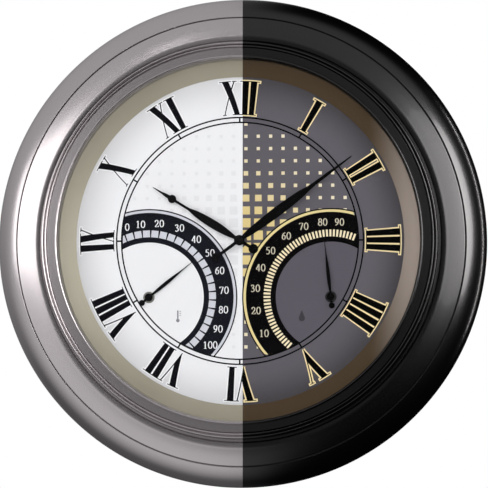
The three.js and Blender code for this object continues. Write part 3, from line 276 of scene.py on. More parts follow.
# The night colours here are painted: painted night shade, and painted glow on the inks given a glow
sealRubber = ink("greySiliconeSeal", "#8d8882", "#0d0c0b")  # matt, lost in the dark by night
blackInk = ink("blackInk", "#101014", "#020202", shine=0.02)
bandInk = ink("bandInk", "#181920", "#050405", shine=0.02)
whiteInk = ink("whiteInk", "#f6f6f8", "#f3ead2", glow=0.75)
openInk = ink("openInk", "#f7f7f9", "#f8e3ae", glow=1.0)
greyInk = ink("greyInk", "#d3d4dc", "#ecda9c", glow=1.0)
barInk = ink("barInk", "#d3d4dc", "#fbecc6", glow=1.0)
gapInk = ink("gapInk", "#f1f1f3", "#5e5a61")
wordInk = ink("wordInk", "#8a8a90", "#3a383d")
faceInk = ink("smallFaceInk", "#f2f2f4", "#5b5760")
dotInk = ink("squareInk", "#eaeaec", "#f7eccd", glow=0.95, hubGlowHex="#ecd592")
zinc = plainMaterial("zincPlatedSteel", "#a9abad", 0.32, 1.0, 0.1, 700.0)  # bluish grey shine
# their night colours are painted night shade
greyBrass = plainMaterial("greyedBrassWasher", "#83827c", 0.5, 0.2, 0.1, paintedNightHex="#0d0c0b")
blackPaint = plainMaterial("blackPaintedAluminium", "#0b0b0d", 0.42, 0.0, 0.1, 1400.0, "#010101",
                           Specular_IOR_Level=0.07)  # satin, hardly any shine

plainFinishes = (  # name, colour, roughness, metallic, grain and its scale, nodes
    ("mouldedRubber", "#1a1918", 0.75, 0.0, 0.2, 900.0, "back_gasket rubber_washer"),  # matt black
    ("blackMouldedAbs", "#28282b", 0.5, 0.0, 0.35, 1100.0,  # a fine spark-eroded grain
     "back_cover movement_hatch battery_tray battery_door thermo_cup hygro_cup"),
    ("greyMouldedAbs", "#55565a", 0.5, 0.0, 0.2, 900.0, "movement_case movement_cover switch_body"),
    ("whiteMouldedAbs", "#dcdcd6", 0.45, 0.0, 0.15, 900.0,
     "led_ring light_tray set_knob switch_knob"),
    ("castAcrylic", "#eef0ee", 0.15, 0.0, 0.0, 900.0, "light_guide"),  # glossy white
    ("turnedBrass", "#c2a05c", 0.3, 1.0, 0.08, 900.0, "centre_bushing minute_wheel hour_wheel"),
    ("rolledBimetalStrip", "#8b8a85", 0.4, 0.6, 0.1, 1200.0, "thermo_coil hygro_coil"),  # dull grey
    ("enamelledCopper", "#a85f38", 0.35, 1.0, 0.2, 2200.0, "motor_coil"),  # fine windings
    ("circuitBoardLacquer", "#2c6443", 0.45, 0.0, 0.1, 1200.0, "circuit_board"),
    ("printedCellSleeve", "#4b4f57", 0.3, 0.3, 0.05, 600.0,
     "movement_cell lamp_cell_1 lamp_cell_2 lamp_cell_3 lamp_cell_4"),
)


def finishNodes(material, names):
    for name in names.split():
        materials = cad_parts[name].data.materials
        materials.clear()
        materials.append(material)


for *plainLook, plainNodes in plainFinishes:
    finishNodes(plainMaterial(*plainLook), plainNodes)
finishNodes(glass, "lens")
finishNodes(film, "dial_plate dial_washer hex_nut")
finishNodes(zinc, "hanger_plate door_pin minute_arbor stator cell_contact_plus cell_contact_minus "
                  "contact_strip_top contact_strip_bottom")
print("finishes ready")


# Shapes made in Geometry Nodes
def newTree(name, sizes):
    tree = bpy.data.node_groups.new(name, "GeometryNodeTree")
    tree.interface.new_socket("Geometry", in_out="OUTPUT", socket_type="NodeSocketGeometry")
    for socket, kind in {"Geometry": "Geometry", **sizes, "Finish": "Material"}.items():
        tree.interface.new_socket(socket, in_out="INPUT", socket_type="NodeSocket" + kind)
    add = partial(addNode, tree)
    return add, add("NodeGroupInput").outputs


def endTree(add, given, shape):
    whole = add("GeometryNodeRealizeInstances", {0: shape})
    coated = add("GeometryNodeSetMaterial", {0: whole, 2: given["Finish"]})
    return add("NodeGroupOutput", {0: coated}).id_data


def bake(name, start, tree, values, sizes, sharpAngle=None, flat=False):
    # Runs a tree on a starting piece, keeps the result as a plain mesh and drops the start. The
    # sizes are given in millimetres.
    modifier = start.modifiers.new("build", "NODES")
    modifier.node_group = tree
    given = {**values, **{key: size / 1000 for key, size in sizes.items()}}
    for socket in tree.interface.items_tree:
        if socket.in_out == "INPUT" and socket.name in given:
            modifier[socket.identifier] = given[socket.name]
    bpy.context.view_layer.update()
    shape = start.evaluated_get(bpy.context.evaluated_depsgraph_get())
    mesh = bpy.data.meshes.new_from_object(shape)
    bpy.data.objects.remove(start)
    work = bmesh.new()
    work.from_mesh(mesh)
    bpy.data.meshes.remove(mesh)
    return workPiece(name, work, values["Finish"], sharpAngle, flat)


def ringTree():
    # Sweeps the closed profile round a circle whose axis is turned to the clock's axis.
    add, given = newTree("turnedRing", {"Radius": "Float", "Steps": "Int"})
    profile = add("GeometryNodeMeshToCurve", {0: given["Geometry"]})
    path = add("GeometryNodeCurvePrimitiveCircle",
               {"Resolution": given["Steps"], "Radius": given["Radius"]})
    swept = add("GeometryNodeCurveToMesh", {0: path, 1: profile})
    turned = add("GeometryNodeTransform", {0: swept, "Rotation": (pi / 2, 0, 0)})
    return endTree(add, given, turned)


ringSweep = ringTree()


def turnedRing(name, profile, finish, sharpAngle=35):
    # profile: closed list of (radius, depth)
    middle = profile[0][0]
    edges = [(i, (i + 1) % len(profile)) for i in range(len(profile))]
    wire = meshPiece(name + "Profile", [at(r - middle, d, 0) for r, d in profile], edges)
    return bake(name, wire, ringSweep, {"Steps": clock["ringSteps"], "Finish": finish},
                {"Radius": middle}, sharpAngle)


caseSizes = {"radius": 228.6, "edgeDepth": 10.0, "rollWidth": 19.4, "seamDepth": 32.2,
             "rollEnd": 50.0, "wall": 2.2, "rimOuter": 222.0, "rimInner": 216.0, "rimBreak": 0.4,
             "ledgeInner": 205.0, "ledgeBack": 6.4, "ledgeFront": 8.4, "flangeInner": 170.0,
             "flangeBack": 26.9, "flangeFront": 29.1, "edgeRound": 0.5, "edgeDrop": 0.15,
             "edgeTurn": 0.6}


def caseProfile(s):
    reach = s["rollWidth"] / (1 - cos(radians(s["rollEnd"])))
    rise = (s["seamDepth"] - s["edgeDepth"]) / sin(radians(s["rollEnd"]))
    middle, seam = s["radius"] - reach, s["radius"] - s["rollWidth"]
    points = [(s["rimInner"], s["rimBreak"]), (s["rimInner"] + s["rimBreak"], 0.0),
              (s["rimOuter"] - s["rimBreak"] / 2, 0.0)]
    for i in range(1, 11):  # rounded back edge
        turn = pi / 2 * i / 10
        points.append((between(s["rimOuter"], s["radius"], sin(turn)),
                       s["edgeDepth"] * (1 - cos(turn))))
    for i in range(1, 25):  # outer roll, up to where its rounded edge begins
        turn = radians((s["rollEnd"] - s["edgeTurn"]) * i / 24)
        points.append((middle + reach * cos(turn), s["edgeDepth"] + rise * sin(turn)))
    r = s["edgeRound"]
    points += arc(r, 60, 180, 5, seam + r, s["seamDepth"] - r - s["edgeDrop"])
    points += [(seam, s["flangeFront"]), (s["flangeInner"], s["flangeFront"]),
               (s["flangeInner"], s["flangeBack"])]
    for i in range(7):  # inside of the roll
        turn = asin((s["flangeBack"] - s["edgeDepth"]) / (rise - s["wall"])) * (1 - i / 6)
        points.append((middle + (reach - s["wall"]) * cos(turn),
                       s["edgeDepth"] + (rise - s["wall"]) * sin(turn)))
    points += [(s["radius"] - s["wall"], s["ledgeFront"]), (s["ledgeInner"], s["ledgeFront"]),
               (s["ledgeInner"], s["ledgeBack"]), (s["rimInner"], s["ledgeBack"])]
    return points


bezelSizes = {
    "edge": 208.4, "edgeRound": 0.5, "backDepth": 29.4, "seamDepth": 32.2, "rollWidth": 19.3,
    "rollRise": 4.65, "rollLean": 15.0, "rollBow": 0.3, "noseRound": 14.0, "noseTuck": 9.0,
    "coveSink": 2.9, "coveFall": 0.25, "coveRise": 0.3, "coveInset": 0.35, "seamDrop": 0.35,
    "wallFoot": 184.2, "wallTop": 183.5, "wallTopDepth": 53.4, "wallBreak": 0.1, "footRise": 1.5,
    "cornerDrop": 0.5,
    "beads": ((182.3, 53.75), (179.2, 54.55)), "beadWidth": 0.8, "beadHeight": 0.7,
    "beadGap": 0.2, "beadGroove": 0.35, "bandOuter": 177.6, "bandInner": 170.2,
    "bandDepth": 56.2, "bandBreak": 0.4, "bandInset": 0.3, "lipGap": 0.2, "lipInner": 167.9,
    "lipDepth": 60.0, "lipRound": 1.5,
    "lensSeat": 54.2, "skirtInner": 174.4, "skirtBack": 31.7, "shell": 2.0}


def bezelProfile(s):
    shell = s["shell"]
    crest, crestDepth = s["edge"] - s["rollWidth"], s["seamDepth"] + s["rollRise"]
    r, lean = s["noseRound"], radians(s["rollLean"])
    slopeR, slopeDepth = crest + r * sin(lean), crestDepth - r * (1 - cos(lean))
    points = [(s["edge"] - shell, s["backDepth"]), (s["edge"], s["backDepth"])]
    points += arc(s["edgeRound"], 0, 75, 4, s["edge"] - s["edgeRound"],
                  s["seamDepth"] - s["seamDrop"])
    for i in range(1, 13):  # inner roll: a long slope, a little steeper at the seam
        bow = s["rollBow"] * sin(pi * i / 12)
        points.append((between(s["edge"], slopeR, i / 12),
                       between(s["seamDepth"], slopeDepth, i / 12) + bow))
    points += arc(r, 90 - s["rollLean"], 90 + s["noseTuck"], 10, crest, crestDepth - r)[1:]
    noseR, floorDepth = points[-1][0], crestDepth - s["coveSink"]
    fall, wallBreak, drop = s["coveFall"], s["wallBreak"], s["cornerDrop"]
    points.append((noseR - fall, floorDepth + s["coveRise"]))
    for i in range(1, 5):  # narrow groove under the nose, its floor rising to the wall
        points.append((between(noseR - s["coveInset"], s["wallFoot"], i / 4),
                       floorDepth - fall * (1 - i / 4)))
    points += [(s["wallFoot"] - wallBreak, floorDepth + s["footRise"]),
               (s["wallTop"] + wallBreak, s["wallTopDepth"] - wallBreak - drop),
               (s["wallTop"], s["wallTopDepth"] - wallBreak)]
    for radius, depth in s["beads"]:
        for x, d in arc(s["beadWidth"], 8, 172, 10, radius, depth):
            points.append((x, between(depth, d, s["beadHeight"] / s["beadWidth"])))
        points.append((radius - s["beadWidth"] - s["beadGap"], depth - s["beadGroove"]))
    points += [(s["bandOuter"] + wallBreak, s["bandDepth"] - drop - s["bandBreak"]),
               (s["bandOuter"] - s["bandInset"], s["bandDepth"] - s["bandBreak"]),
               (s["bandInner"] + s["lipGap"], s["bandDepth"])]
    lipHalf = (s["bandInner"] - s["lipInner"]) / 2
    for i in range(11):  # rounded lip
        points.append((s["lipInner"] + lipHalf + lipHalf * cos(pi * i / 10),
                       s["lipDepth"] - s["lipRound"] * (1 - sin(pi * i / 10))))
    points += [(s["lipInner"], s["lensSeat"]), (s["skirtInner"], s["lensSeat"]),
               (s["skirtInner"], s["skirtBack"]), (s["skirtInner"] + shell, s["skirtBack"]),
               (s["skirtInner"] + shell, s["lensSeat"] - shell),
               (s["wallTop"] - shell, s["wallTopDepth"] - shell),
               (s["wallFoot"] - shell, floorDepth - shell / 2),
               (s["wallFoot"] + shell / 2, floorDepth - shell), (noseR, floorDepth - shell),
               (crest + shell, crestDepth - shell * 1.2),
               (s["edge"] - shell, s["seamDepth"] - shell * 0.7)]
    return points


reflectorSizes = {"opening": 152.2, "foot": 37.3, "top": 47.0, "outer": 166.6, "flange": 174.1,
                  "wall": 1.2, "hollow": 0.5}


def reflectorProfile(s):
    face = []
    for i in range(9):  # very slightly hollow slope
        face.append((between(s["opening"], s["outer"], i / 8),
                     between(s["foot"], s["top"], i / 8) - s["hollow"] * sin(pi * i / 8)))
    back = s["top"] - s["wall"]
    return face[::-1] + [(s["opening"] + s["wall"], s["foot"]), (s["outer"] + s["wall"], back),
                         (s["flange"], back), (s["flange"], s["top"])]


gasketSizes = {"inner": 167.2, "outer": 174.1, "back": 47.3, "front": 53.9, "wall": 1.5,
               "edgeRound": 0.5}


def gasketProfile(s):
    r, wall = s["edgeRound"], s["wall"]
    return (arc(r, 90, 180, 4, s["inner"] + r, s["front"] - r)
            + [(s["inner"], s["front"] - wall), (s["outer"] - wall, s["front"] - wall),
               (s["outer"] - wall, s["back"] + wall), (s["inner"], s["back"] + wall),
               (s["inner"], s["back"]), (s["outer"], s["back"]), (s["outer"], s["front"])])


rings = (
    ("caseShell", caseProfile(caseSizes), coat, "case_ring", "case_finish"),
    ("bezelShell", bezelProfile(bezelSizes), coat, "bezel_ring", "case_finish"),
    ("reflectorSlope", reflectorProfile(reflectorSizes), champagne, "reflector_ring",
     "reflector_finish"),
    ("lensSeal", gasketProfile(gasketSizes), sealRubber, "lens_gasket", "seal_rubber"),
)
for ringName, ringProfile, ringFinish, ringNode, ringSlot in rings:
    ring = turnedRing(ringName, ringProfile, ringFinish)
    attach(ring, "case")
    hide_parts(ringNode)
print("case, bezel, reflector and seal turned")

# Printing on the dial: how far each layer of ink lies in front of it
layers = {"dots": 0.03, "smallFace": 0.06, "band": 0.09, "bandLight": 0.12, "digits": 0.15,
          "chapterGap": 0.12, "chapterLine": 0.15, "numeralOpen": 0.18, "numeral": 0.21}
cupLow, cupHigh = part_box("hygro_cup")  # the small dials stand on the two pivot cups
dial = {"gapOuter": 114.6, "gapInner": 110.0, "line": 1.35, "numeralInner": 117.0,
        "numeralOuter": 148.9, "smallX": 500 * (cupLow.x + cupHigh.x),
        "smallZ": 500 * (cupLow.z + cupHigh.z), "smallLine": 81.6, "lightOuter": 81.0,
        "lineOver": 0.6, "lightMargin": 1.4, "bandOuter": 78.7, "bandInner": 51.0,
        "barInner": 55.9, "barOuter": 62.3, "barMargin": 1.2, "endBarTurn": 3.2, "hourMark": 1.5,
        "hoopSteps": 180, "leastPrint": 0.02}
gapMiddle = (dial["gapOuter"] + dial["gapInner"]) / 2


def printed(piece):
    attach(piece, "case")


class Sheet:
    # Gathers flat shapes of one ink. Points are x, z as seen from the front, in millimetres.
    def __init__(self, layer):
        self.depth = clock["dialFront"] + layers[layer]
        self.points, self.faces = [], []

    def polygon(self, outline, lift=0.0):
        start = len(self.points)
        area = sum(a[0] * b[1] - b[0] * a[1] for a, b in zip(outline, outline[1:] + outline[:1]))
        ordered = outline if area > 0 else outline[::-1]
        self.points += [at(x, self.depth + lift, z) for x, z in ordered]
        self.faces.append(tuple(range(start, start + len(ordered))))

    def strip(self, inner, outer, lift=0.0):
        for i in range(len(inner) - 1):
            self.polygon([inner[i], outer[i], outer[i + 1], inner[i + 1]], lift)

    def piece(self, name, material):
        printed(meshPiece(name, self.points, faces=self.faces, material=material))


def reachToRing(x, z, turn, limit):
    # distance from a small dial's centre to the big ring, along a direction
    along = x * cos(turn) + z * sin(turn)
    return -along + sqrt(along * along - (x ** 2 + z ** 2 - limit ** 2))


def clippedBand(sheet, side, inner, outer, limit, first=0, last=360, steps=240):
    # a band round a small dial, cut off at a limit from the clock's axis
    centre = (side * dial["smallX"], dial["smallZ"])
    for i in range(steps):
        corners = []
        for turn in (radians(between(first, last, n / steps)) for n in (i, i + 1)):
            reach = reachToRing(*centre, turn, limit)
            corners += [polar(min(radius, reach), turn, *centre) for radius in (inner, outer)]
        if dist(*corners[:2]) + dist(*corners[2:]) > dial["leastPrint"]:
            outline = [corners[0], corners[1], corners[3], corners[2]]
            sheet.polygon(outline if inner else outline[:3])


smallBands = (  # name, layer, ink, inner and outer radius, limit from the clock's axis
    ("smallDialFaces", "smallFace", faceInk, 0, dial["smallLine"], gapMiddle),
    ("smallDialLights", "band", greyInk, dial["bandOuter"], dial["lightOuter"],
     dial["gapInner"] - dial["lightMargin"]),
    ("smallDialBands", "band", bandInk, dial["bandInner"], dial["bandOuter"], gapMiddle),
    ("smallDialLines", "band", blackInk, dial["lightOuter"], dial["smallLine"] + dial["lineOver"],
     gapMiddle),
)
for bandName, bandLayer, bandFinish, bandInner, bandOuter, bandLimit in smallBands:
    band = Sheet(bandLayer)
    for side in (-1, 1):
        clippedBand(band, side, bandInner, bandOuter, bandLimit)
    band.piece(bandName, bandFinish)


def hoop(sheet, inner, outer):
    sheet.strip(*(arc(radius, 0, 360, dial["hoopSteps"]) for radius in (inner, outer)))


gap = Sheet("chapterGap")
hoop(gap, dial["gapInner"], dial["gapOuter"])
gap.piece("chapterGap", gapInk)
lines = Sheet("chapterLine")
for radius in (dial["gapInner"], dial["gapOuter"]):
    hoop(lines, radius - dial["line"] / 2, radius + dial["line"] / 2)
lines.piece("chapterLines", blackInk)


def barTree():
    # Copies one flat bar round an arc about a centre. Turns run clockwise, as they do about +Y.
    add, given = newTree("barsOnArc", {
        "Count": "Int", "First": "Float", "Step": "Float", "Radius": "Float", "Width": "Float",
        "Length": "Float", "Centre": "Vector"})
    line = add("GeometryNodeMeshLine", {
        "Count": given["Count"], "Start Location": given["Centre"], "Offset": (0, 0, 0)})
    index = add("GeometryNodeInputIndex")
    turn = add("ShaderNodeMath", {0: index, 1: given["Step"], 2: given["First"]},
               operation="MULTIPLY_ADD")
    spin = add("ShaderNodeCombineXYZ", {1: turn})
    bar = add("GeometryNodeMeshGrid", {
        "Size X": given["Length"], "Size Y": given["Width"], "Vertices X": 2, "Vertices Y": 2})
    outward = add("ShaderNodeCombineXYZ", {0: given["Radius"]})
    arm = add("GeometryNodeTransform", {
        0: bar, "Rotation": (pi / 2, 0, 0), "Translation": outward})
    copies = add("GeometryNodeInstanceOnPoints", {
        "Points": line, "Instance": arm, "Rotation": spin})
    return endTree(add, given, copies)


bars = barTree()


def barsOnArc(name, layer, count, first, step, radius, width, length, centre, finish):
    printed(bake(name, meshPiece(name + "Start"), bars, {
        "Count": count, "First": -radians(first), "Step": -radians(step), "Finish": finish,
        "Centre": at(centre[0], clock["dialFront"] + layers[layer], centre[1])},
        {"Radius": radius, "Width": width, "Length": length}, flat=True))


barMiddle = (dial["barInner"] + dial["barOuter"]) / 2
scales = {  # first and step in degrees
    "thermometerBars": {"side": -1, "count": 21, "first": 107.5, "step": -7.585, "width": 6.5},
    "hygrometerBars": {"side": 1, "count": 53, "first": 229.4, "step": -3.09, "width": 1.8},
}
for scaleName, s in scales.items():
    barsOnArc(scaleName, "bandLight", s["count"], s["first"], s["step"], barMiddle, s["width"],
              dial["barOuter"] - dial["barInner"],
              (s["side"] * dial["smallX"], dial["smallZ"]), barInk)
thermo = scales["thermometerBars"]
endBars = Sheet("bandLight")
for n in (-1, thermo["count"]):  # the bars before the first and after the last, cut by the ring
    barTurn, half = thermo["first"] + n * thermo["step"], dial["endBarTurn"]
    clippedBand(endBars, thermo["side"], dial["barInner"], dial["barOuter"],
                dial["gapInner"] - dial["barMargin"], barTurn - half, barTurn + half, 12)
endBars.piece("thermometerEndBars", barInk)
print("rings and scales printed")

barsOnArc("hourMarks", "chapterLine", 12, 0, 30, gapMiddle, dial["hourMark"],
          dial["gapOuter"] - dial["gapInner"], (0, 0), blackInk)

# Strokes of the twelve numerals, from I to XII: where each one's outer and inner end stand, in
# millimetres clockwise from the hour mark at mid height, or one number where both are the same.
# A broad and a fine stroke that share a foot make the V.
numeralStrokes = (
    {"broad": [0]},
    {"broad": [-4.4, 4.4]},
    {"broad": [-6.9, 0, 6.9]},
    {"broad": [-10.4, -3.5, 3.5, 10.4]},
    {"broad": [(-4.7, -0.7)], "fine": [(7.3, -0.7)]},
    {"broad": [(-9.0, -4.2), 8.0], "fine": [(2.4, -4.2)]},
    {"broad": [(-12.0, -6.9), 5.0, 11.9], "fine": [(-0.5, -6.9)]},
    {"broad": [(-15.4, -10.0), 1.9, 8.8, 15.6], "fine": [(-4.3, -10.0)]},
    {"broad": [(-6.2, -5.8), (1.6, 6.9)], "fine": [(9.7, -0.3)]},
    {"broad": [(-4.0, 6.9)], "fine": [(3.9, -8.3)]},
    {"broad": [(-8.4, 0.9), (7.7, 8.3)], "fine": [(0.1, -11.6)]},
    {"broad": [(-12.4, -2.4), 5.2, 12.1], "fine": [(-4.6, -15.7)]},
)
stroke = {"broad": 5.5, "fine": 1.05, "open": 1.15, "serif": 0.8, "broadSerif": 2.2,
          "fineSerif": 1.4, "serifOpenShare": 0.85, "endOpenShare": 0.25, "footShare": 0.37,
          "rows": 8, "serifSteps": 6, "lift": 0.002, "serifLift": 0.014}


def edgeAt(corners, share):
    # where a stroke's edge stands at a share of its height; corners are (share, place)
    for (startShare, start), (endShare, end) in zip(corners, corners[1:]):
        if share <= endShare:
            return between(start, end, (share - startShare) / (endShare - startShare))


def numeralShapes(dark, light, hour, strokes):
    low, high = dial["numeralInner"], dial["numeralOuter"]

    def spot(u, radius):
        return polar(radius, radians(90 - 30 * hour) - 2 * u / (low + high))

    def slab(sheet, left, right, grow, lift):
        shares = [k / stroke["rows"] for k in range(stroke["rows"] + 1)]
        over = grow * stroke["endOpenShare"]
        rows = [(share, between(low - over, high + over, share)) for share in shares]
        sheet.strip([spot(edgeAt(left, share) - grow, radius) for share, radius in rows],
                    [spot(edgeAt(right, share) + grow, radius) for share, radius in rows], lift)

    def serif(sheet, u, reach, outer, grow, lift):
        half = stroke["serif"] / 2
        radius = high - half if outer else low + half
        us = [between(u - reach - grow, u + reach + grow, k / stroke["serifSteps"])
              for k in range(stroke["serifSteps"] + 1)]
        sheet.strip([spot(v, radius - half - grow) for v in us],
                    [spot(v, radius + half + grow) for v in us], lift)

    ends = {kind: [p if isinstance(p, tuple) else (p, p) for p in strokes.get(kind, [])]
            for kind in ("broad", "fine")}
    feet = {inner for outer, inner in ends["broad"]} & {inner for outer, inner in ends["fine"]}
    count = 0
    for kind, pairs in ends.items():
        half = stroke[kind] / 2
        for outer, inner in pairs:
            left = [(0, inner - half), (1, outer - half)]
            right = [(0, inner + half), (1, outer + half)]
            if inner in feet and kind == "broad":  # comes to a point on the fine stroke
                joint = stroke["footShare"]
                left = [(0, inner), left[1]]
                right = [(0, inner), (joint, between(inner, ends["fine"][0][0], joint)), right[1]]
            for sheet, grow in ((dark, 0.0), (light, stroke["open"])):
                lift = stroke["lift"] * count
                slab(sheet, left, right, grow, lift)
                for u, atOuter in ((outer, True), (inner, False)):
                    if atOuter or inner not in feet:
                        serif(sheet, u, half + stroke[kind + "Serif"], atOuter,
                              grow * stroke["serifOpenShare"], stroke["serifLift"] + lift)
            count += 1


darkNumerals, lightNumerals = Sheet("numeral"), Sheet("numeralOpen")
for hour, strokes in enumerate(numeralStrokes, 1):
    numeralShapes(darkNumerals, lightNumerals, hour, strokes)
darkNumerals.piece("numerals", blackInk)
lightNumerals.piece("numeralOutlines", openInk)
print("numerals printed")


def loop(width, height, z, steps):
    # a closed pen stroke, clockwise from its top
    return [(50 + width * sin(2 * pi * t / steps), z + height * cos(2 * pi * t / steps))
            for t in range(steps + 1)]


# Digits drawn as pen strokes, in hundredths of their width and height: broad when the pen moves
# up or down, fine when it moves across
digitPaths = {
    "0": [loop(36, 47, 50, 24)],
    "1": [[(26, 82), (50, 95), (50, 3)], [(26, 3), (74, 3)]],
    "2": [[(16, 72), (24, 90), (46, 97), (70, 88), (76, 70), (66, 50), (16, 6)],
          [(16, 6), (80, 6), (84, 20)]],
    "3": [[(20, 80), (32, 94), (54, 96), (70, 80), (64, 62), (40, 52)],
          [(40, 52), (68, 46), (80, 26), (66, 8), (40, 2), (18, 12)]],
    "4": [[(64, 2), (64, 96)], [(62, 96), (12, 30)], [(12, 28), (88, 28)]],
    "5": [[(28, 94), (78, 96)], [(28, 94), (24, 58)],
          [(24, 58), (50, 62), (74, 50), (78, 30), (66, 10), (42, 2), (18, 10)]],
    "6": [[(78, 94), (48, 84), (26, 60), (20, 34)], loop(30, 29, 31, 16)],
    "7": [[(16, 80), (20, 93), (84, 93)], [(82, 92), (42, 2)]],
    "8": [loop(27, 22, 74, 16), loop(34, 25, 27, 16)],
    "9": [[(22, 6), (52, 16), (74, 40), (80, 66)], loop(30, 28, 69, 16)],
}
digits = {"height": 6.8, "width": 4.6, "broad": 0.95, "fine": 0.42, "lift": 0.01,
          "lineLift": 0.0004}


def penLine(sheet, points, lift):
    tail = digits["fine"] / 3
    for n, ((ax, az), (bx, bz)) in enumerate(zip(points, points[1:])):
        length = hypot(bx - ax, bz - az)
        ux, uz = (bx - ax) / length, (bz - az) / length
        half = between(digits["fine"], digits["broad"], abs(uz)) / 2
        ax, az, bx, bz = ax - ux * tail, az - uz * tail, bx + ux * tail, bz + uz * tail
        sheet.polygon([(ax - uz * half, az + ux * half), (bx - uz * half, bz + ux * half),
                       (bx + uz * half, bz - ux * half), (ax + uz * half, az - ux * half)],
                      lift + digits["lineLift"] * n)


def writeNumber(sheet, text, x, z):
    left = x - len(text) * digits["width"] / 2
    for i, symbol in enumerate(text):
        for k, path in enumerate(digitPaths[symbol]):
            points = [(left + (i + px / 100) * digits["width"],
                       z + (pz / 100 - 0.5) * digits["height"]) for px, pz in path]
            penLine(sheet, points, digits["lift"] * k)


# where the numbers stand, ten after ten from the first: degrees from three o'clock, distance from
# the small dial's centre
scaleNumbers = {
    -1: (0, (107.3, 68.6), (96.7, 68.5), (82.1, 69.3), (66.3, 70.4), (50.7, 69.6), (35.9, 70.0),
         (20.6, 70.2), (5.3, 70.1), (-9.5, 70.2), (-24.6, 70.6), (-37.8, 72.2)),
    1: (10, (208.5, 70.4), (190.3, 70.4), (173.4, 70.4), (157.3, 70.4), (142.4, 70.4),
        (126.1, 70.0), (111.0, 70.0), (96.2, 69.6), (83.4, 69.6)),
}
numbers = Sheet("digits")
for side, (firstNumber, *marks) in scaleNumbers.items():
    for i, (degrees, radius) in enumerate(marks):
        writeNumber(numbers, str(firstNumber + 10 * i),
                    *polar(radius, radians(degrees), side * dial["smallX"], dial["smallZ"]))
numbers.piece("scaleNumbers", whiteInk)

# Small signs below the two pointers: a thermometer and a drop
signs = Sheet("band")
sign = {"x": 57.5, "z": -70.0, "size": 1.5}


def drawSign(side, outline, lift=0.0):
    signs.polygon([(side * sign["x"] + px * sign["size"], sign["z"] + pz * sign["size"])
                   for px, pz in outline], lift)


drawSign(-1, arc(1.1, 0, 345, 15, 0, -2.6))
drawSign(-1, [(-0.45, -2.0), (0.45, -2.0), (0.45, 3.4), (0.0, 3.8), (-0.45, 3.4)], 0.004)
for low in (0.4, 1.6, 2.8):  # three marks beside the stem
    drawSign(-1, [(1.0, low), (2.1, low), (2.1, low + 0.35), (1.0, low + 0.35)])
drawSign(1, arc(1.9, 160, 380, 16, 0, -1.4) + [(0.0, 3.6)])
signs.piece("smallSigns", wordInk)


def dotTree():
    # A grid of squares inside the chapter ring and off the small dials, larger towards the hub.
    add, given = newTree("halftoneSquares", {
        "Pitch": "Float", "Count": "Int", "Limit": "Float", "SmallLimit": "Float",
        "SmallLeft": "Vector", "SmallRight": "Vector", "Near": "Float", "Far": "Float",
        "Reach": "Float", "Shift": "Vector"})
    less = add("ShaderNodeMath", {0: given["Count"], 1: 1.0}, operation="SUBTRACT")
    span = add("ShaderNodeMath", {0: less, 1: given["Pitch"]}, operation="MULTIPLY")
    grid = add("GeometryNodeMeshGrid", {
        "Size X": span, "Size Y": span, "Vertices X": given["Count"], "Vertices Y": given["Count"]})
    upright = add("GeometryNodeTransform", {
        0: grid, "Rotation": (pi / 2, 0, 0), "Translation": given["Shift"]})
    place = add("GeometryNodeInputPosition")
    flat = add("ShaderNodeVectorMath", {0: place, 1: (1, 0, 1)}, operation="MULTIPLY")
    fromHub = add("ShaderNodeVectorMath", {0: flat}, operation="LENGTH")
    wanted = add("ShaderNodeMath", {0: fromHub, 1: given["Limit"]}, operation="LESS_THAN")
    for centre in ("SmallLeft", "SmallRight"):
        away = add("ShaderNodeVectorMath", {0: flat, 1: given[centre]}, operation="DISTANCE")
        clear = add("ShaderNodeMath", {0: away, 1: given["SmallLimit"]}, operation="GREATER_THAN")
        wanted = add("ShaderNodeMath", {0: wanted, 1: clear}, operation="MULTIPLY")
    size = add("ShaderNodeMapRange", {
        0: fromHub, 2: given["Reach"], 3: given["Near"], 4: given["Far"]})
    square = add("GeometryNodeMeshGrid", {
        "Size X": 1.0, "Size Y": 1.0, "Vertices X": 2, "Vertices Y": 2})
    turned = add("GeometryNodeTransform", {0: square, "Rotation": (pi / 2, 0, 0)})
    copies = add("GeometryNodeInstanceOnPoints",
                 {"Points": upright, "Selection": wanted, "Instance": turned, "Scale": size})
    return endTree(add, given, copies)


squares = {"count": 20, "shiftZ": -0.75, "smallMargin": 2.0}
squareSizes = {"Pitch": 11.5, "Near": 10.2, "Far": 3.0, "Reach": 75.0, "Limit": 109.5,
               "SmallLimit": dial["smallLine"] - squares["smallMargin"]}
printed(bake("halftone", meshPiece("halftoneStart"), dotTree(), {
    "Count": squares["count"], "SmallLeft": at(-dial["smallX"], 0, dial["smallZ"]),
    "SmallRight": at(dial["smallX"], 0, dial["smallZ"]), "Finish": dotInk,
    "Shift": at(0, clock["dialFront"] + layers["dots"], squares["shiftZ"])},
    squareSizes, flat=True))
print("halftone squares printed")


# Hands
def smoothShares(shares, steps=5):
    # Catmull-Rom through the shares of one edge
    out = []
    padded = [shares[0]] + shares + [shares[-1]]
    for a, b, c, d in zip(padded, padded[1:], padded[2:], padded[3:]):
        for t in (k / steps for k in range(steps)):
            out.append(tuple(0.5 * (2 * b[n] + (c[n] - a[n]) * t
                                    + (2 * a[n] - 5 * b[n] + 4 * c[n] - d[n]) * t * t
                                    + (3 * b[n] - a[n] - 3 * c[n] + d[n]) * t ** 3)
                             for n in (0, 1)))
    return out + [shares[-1]]


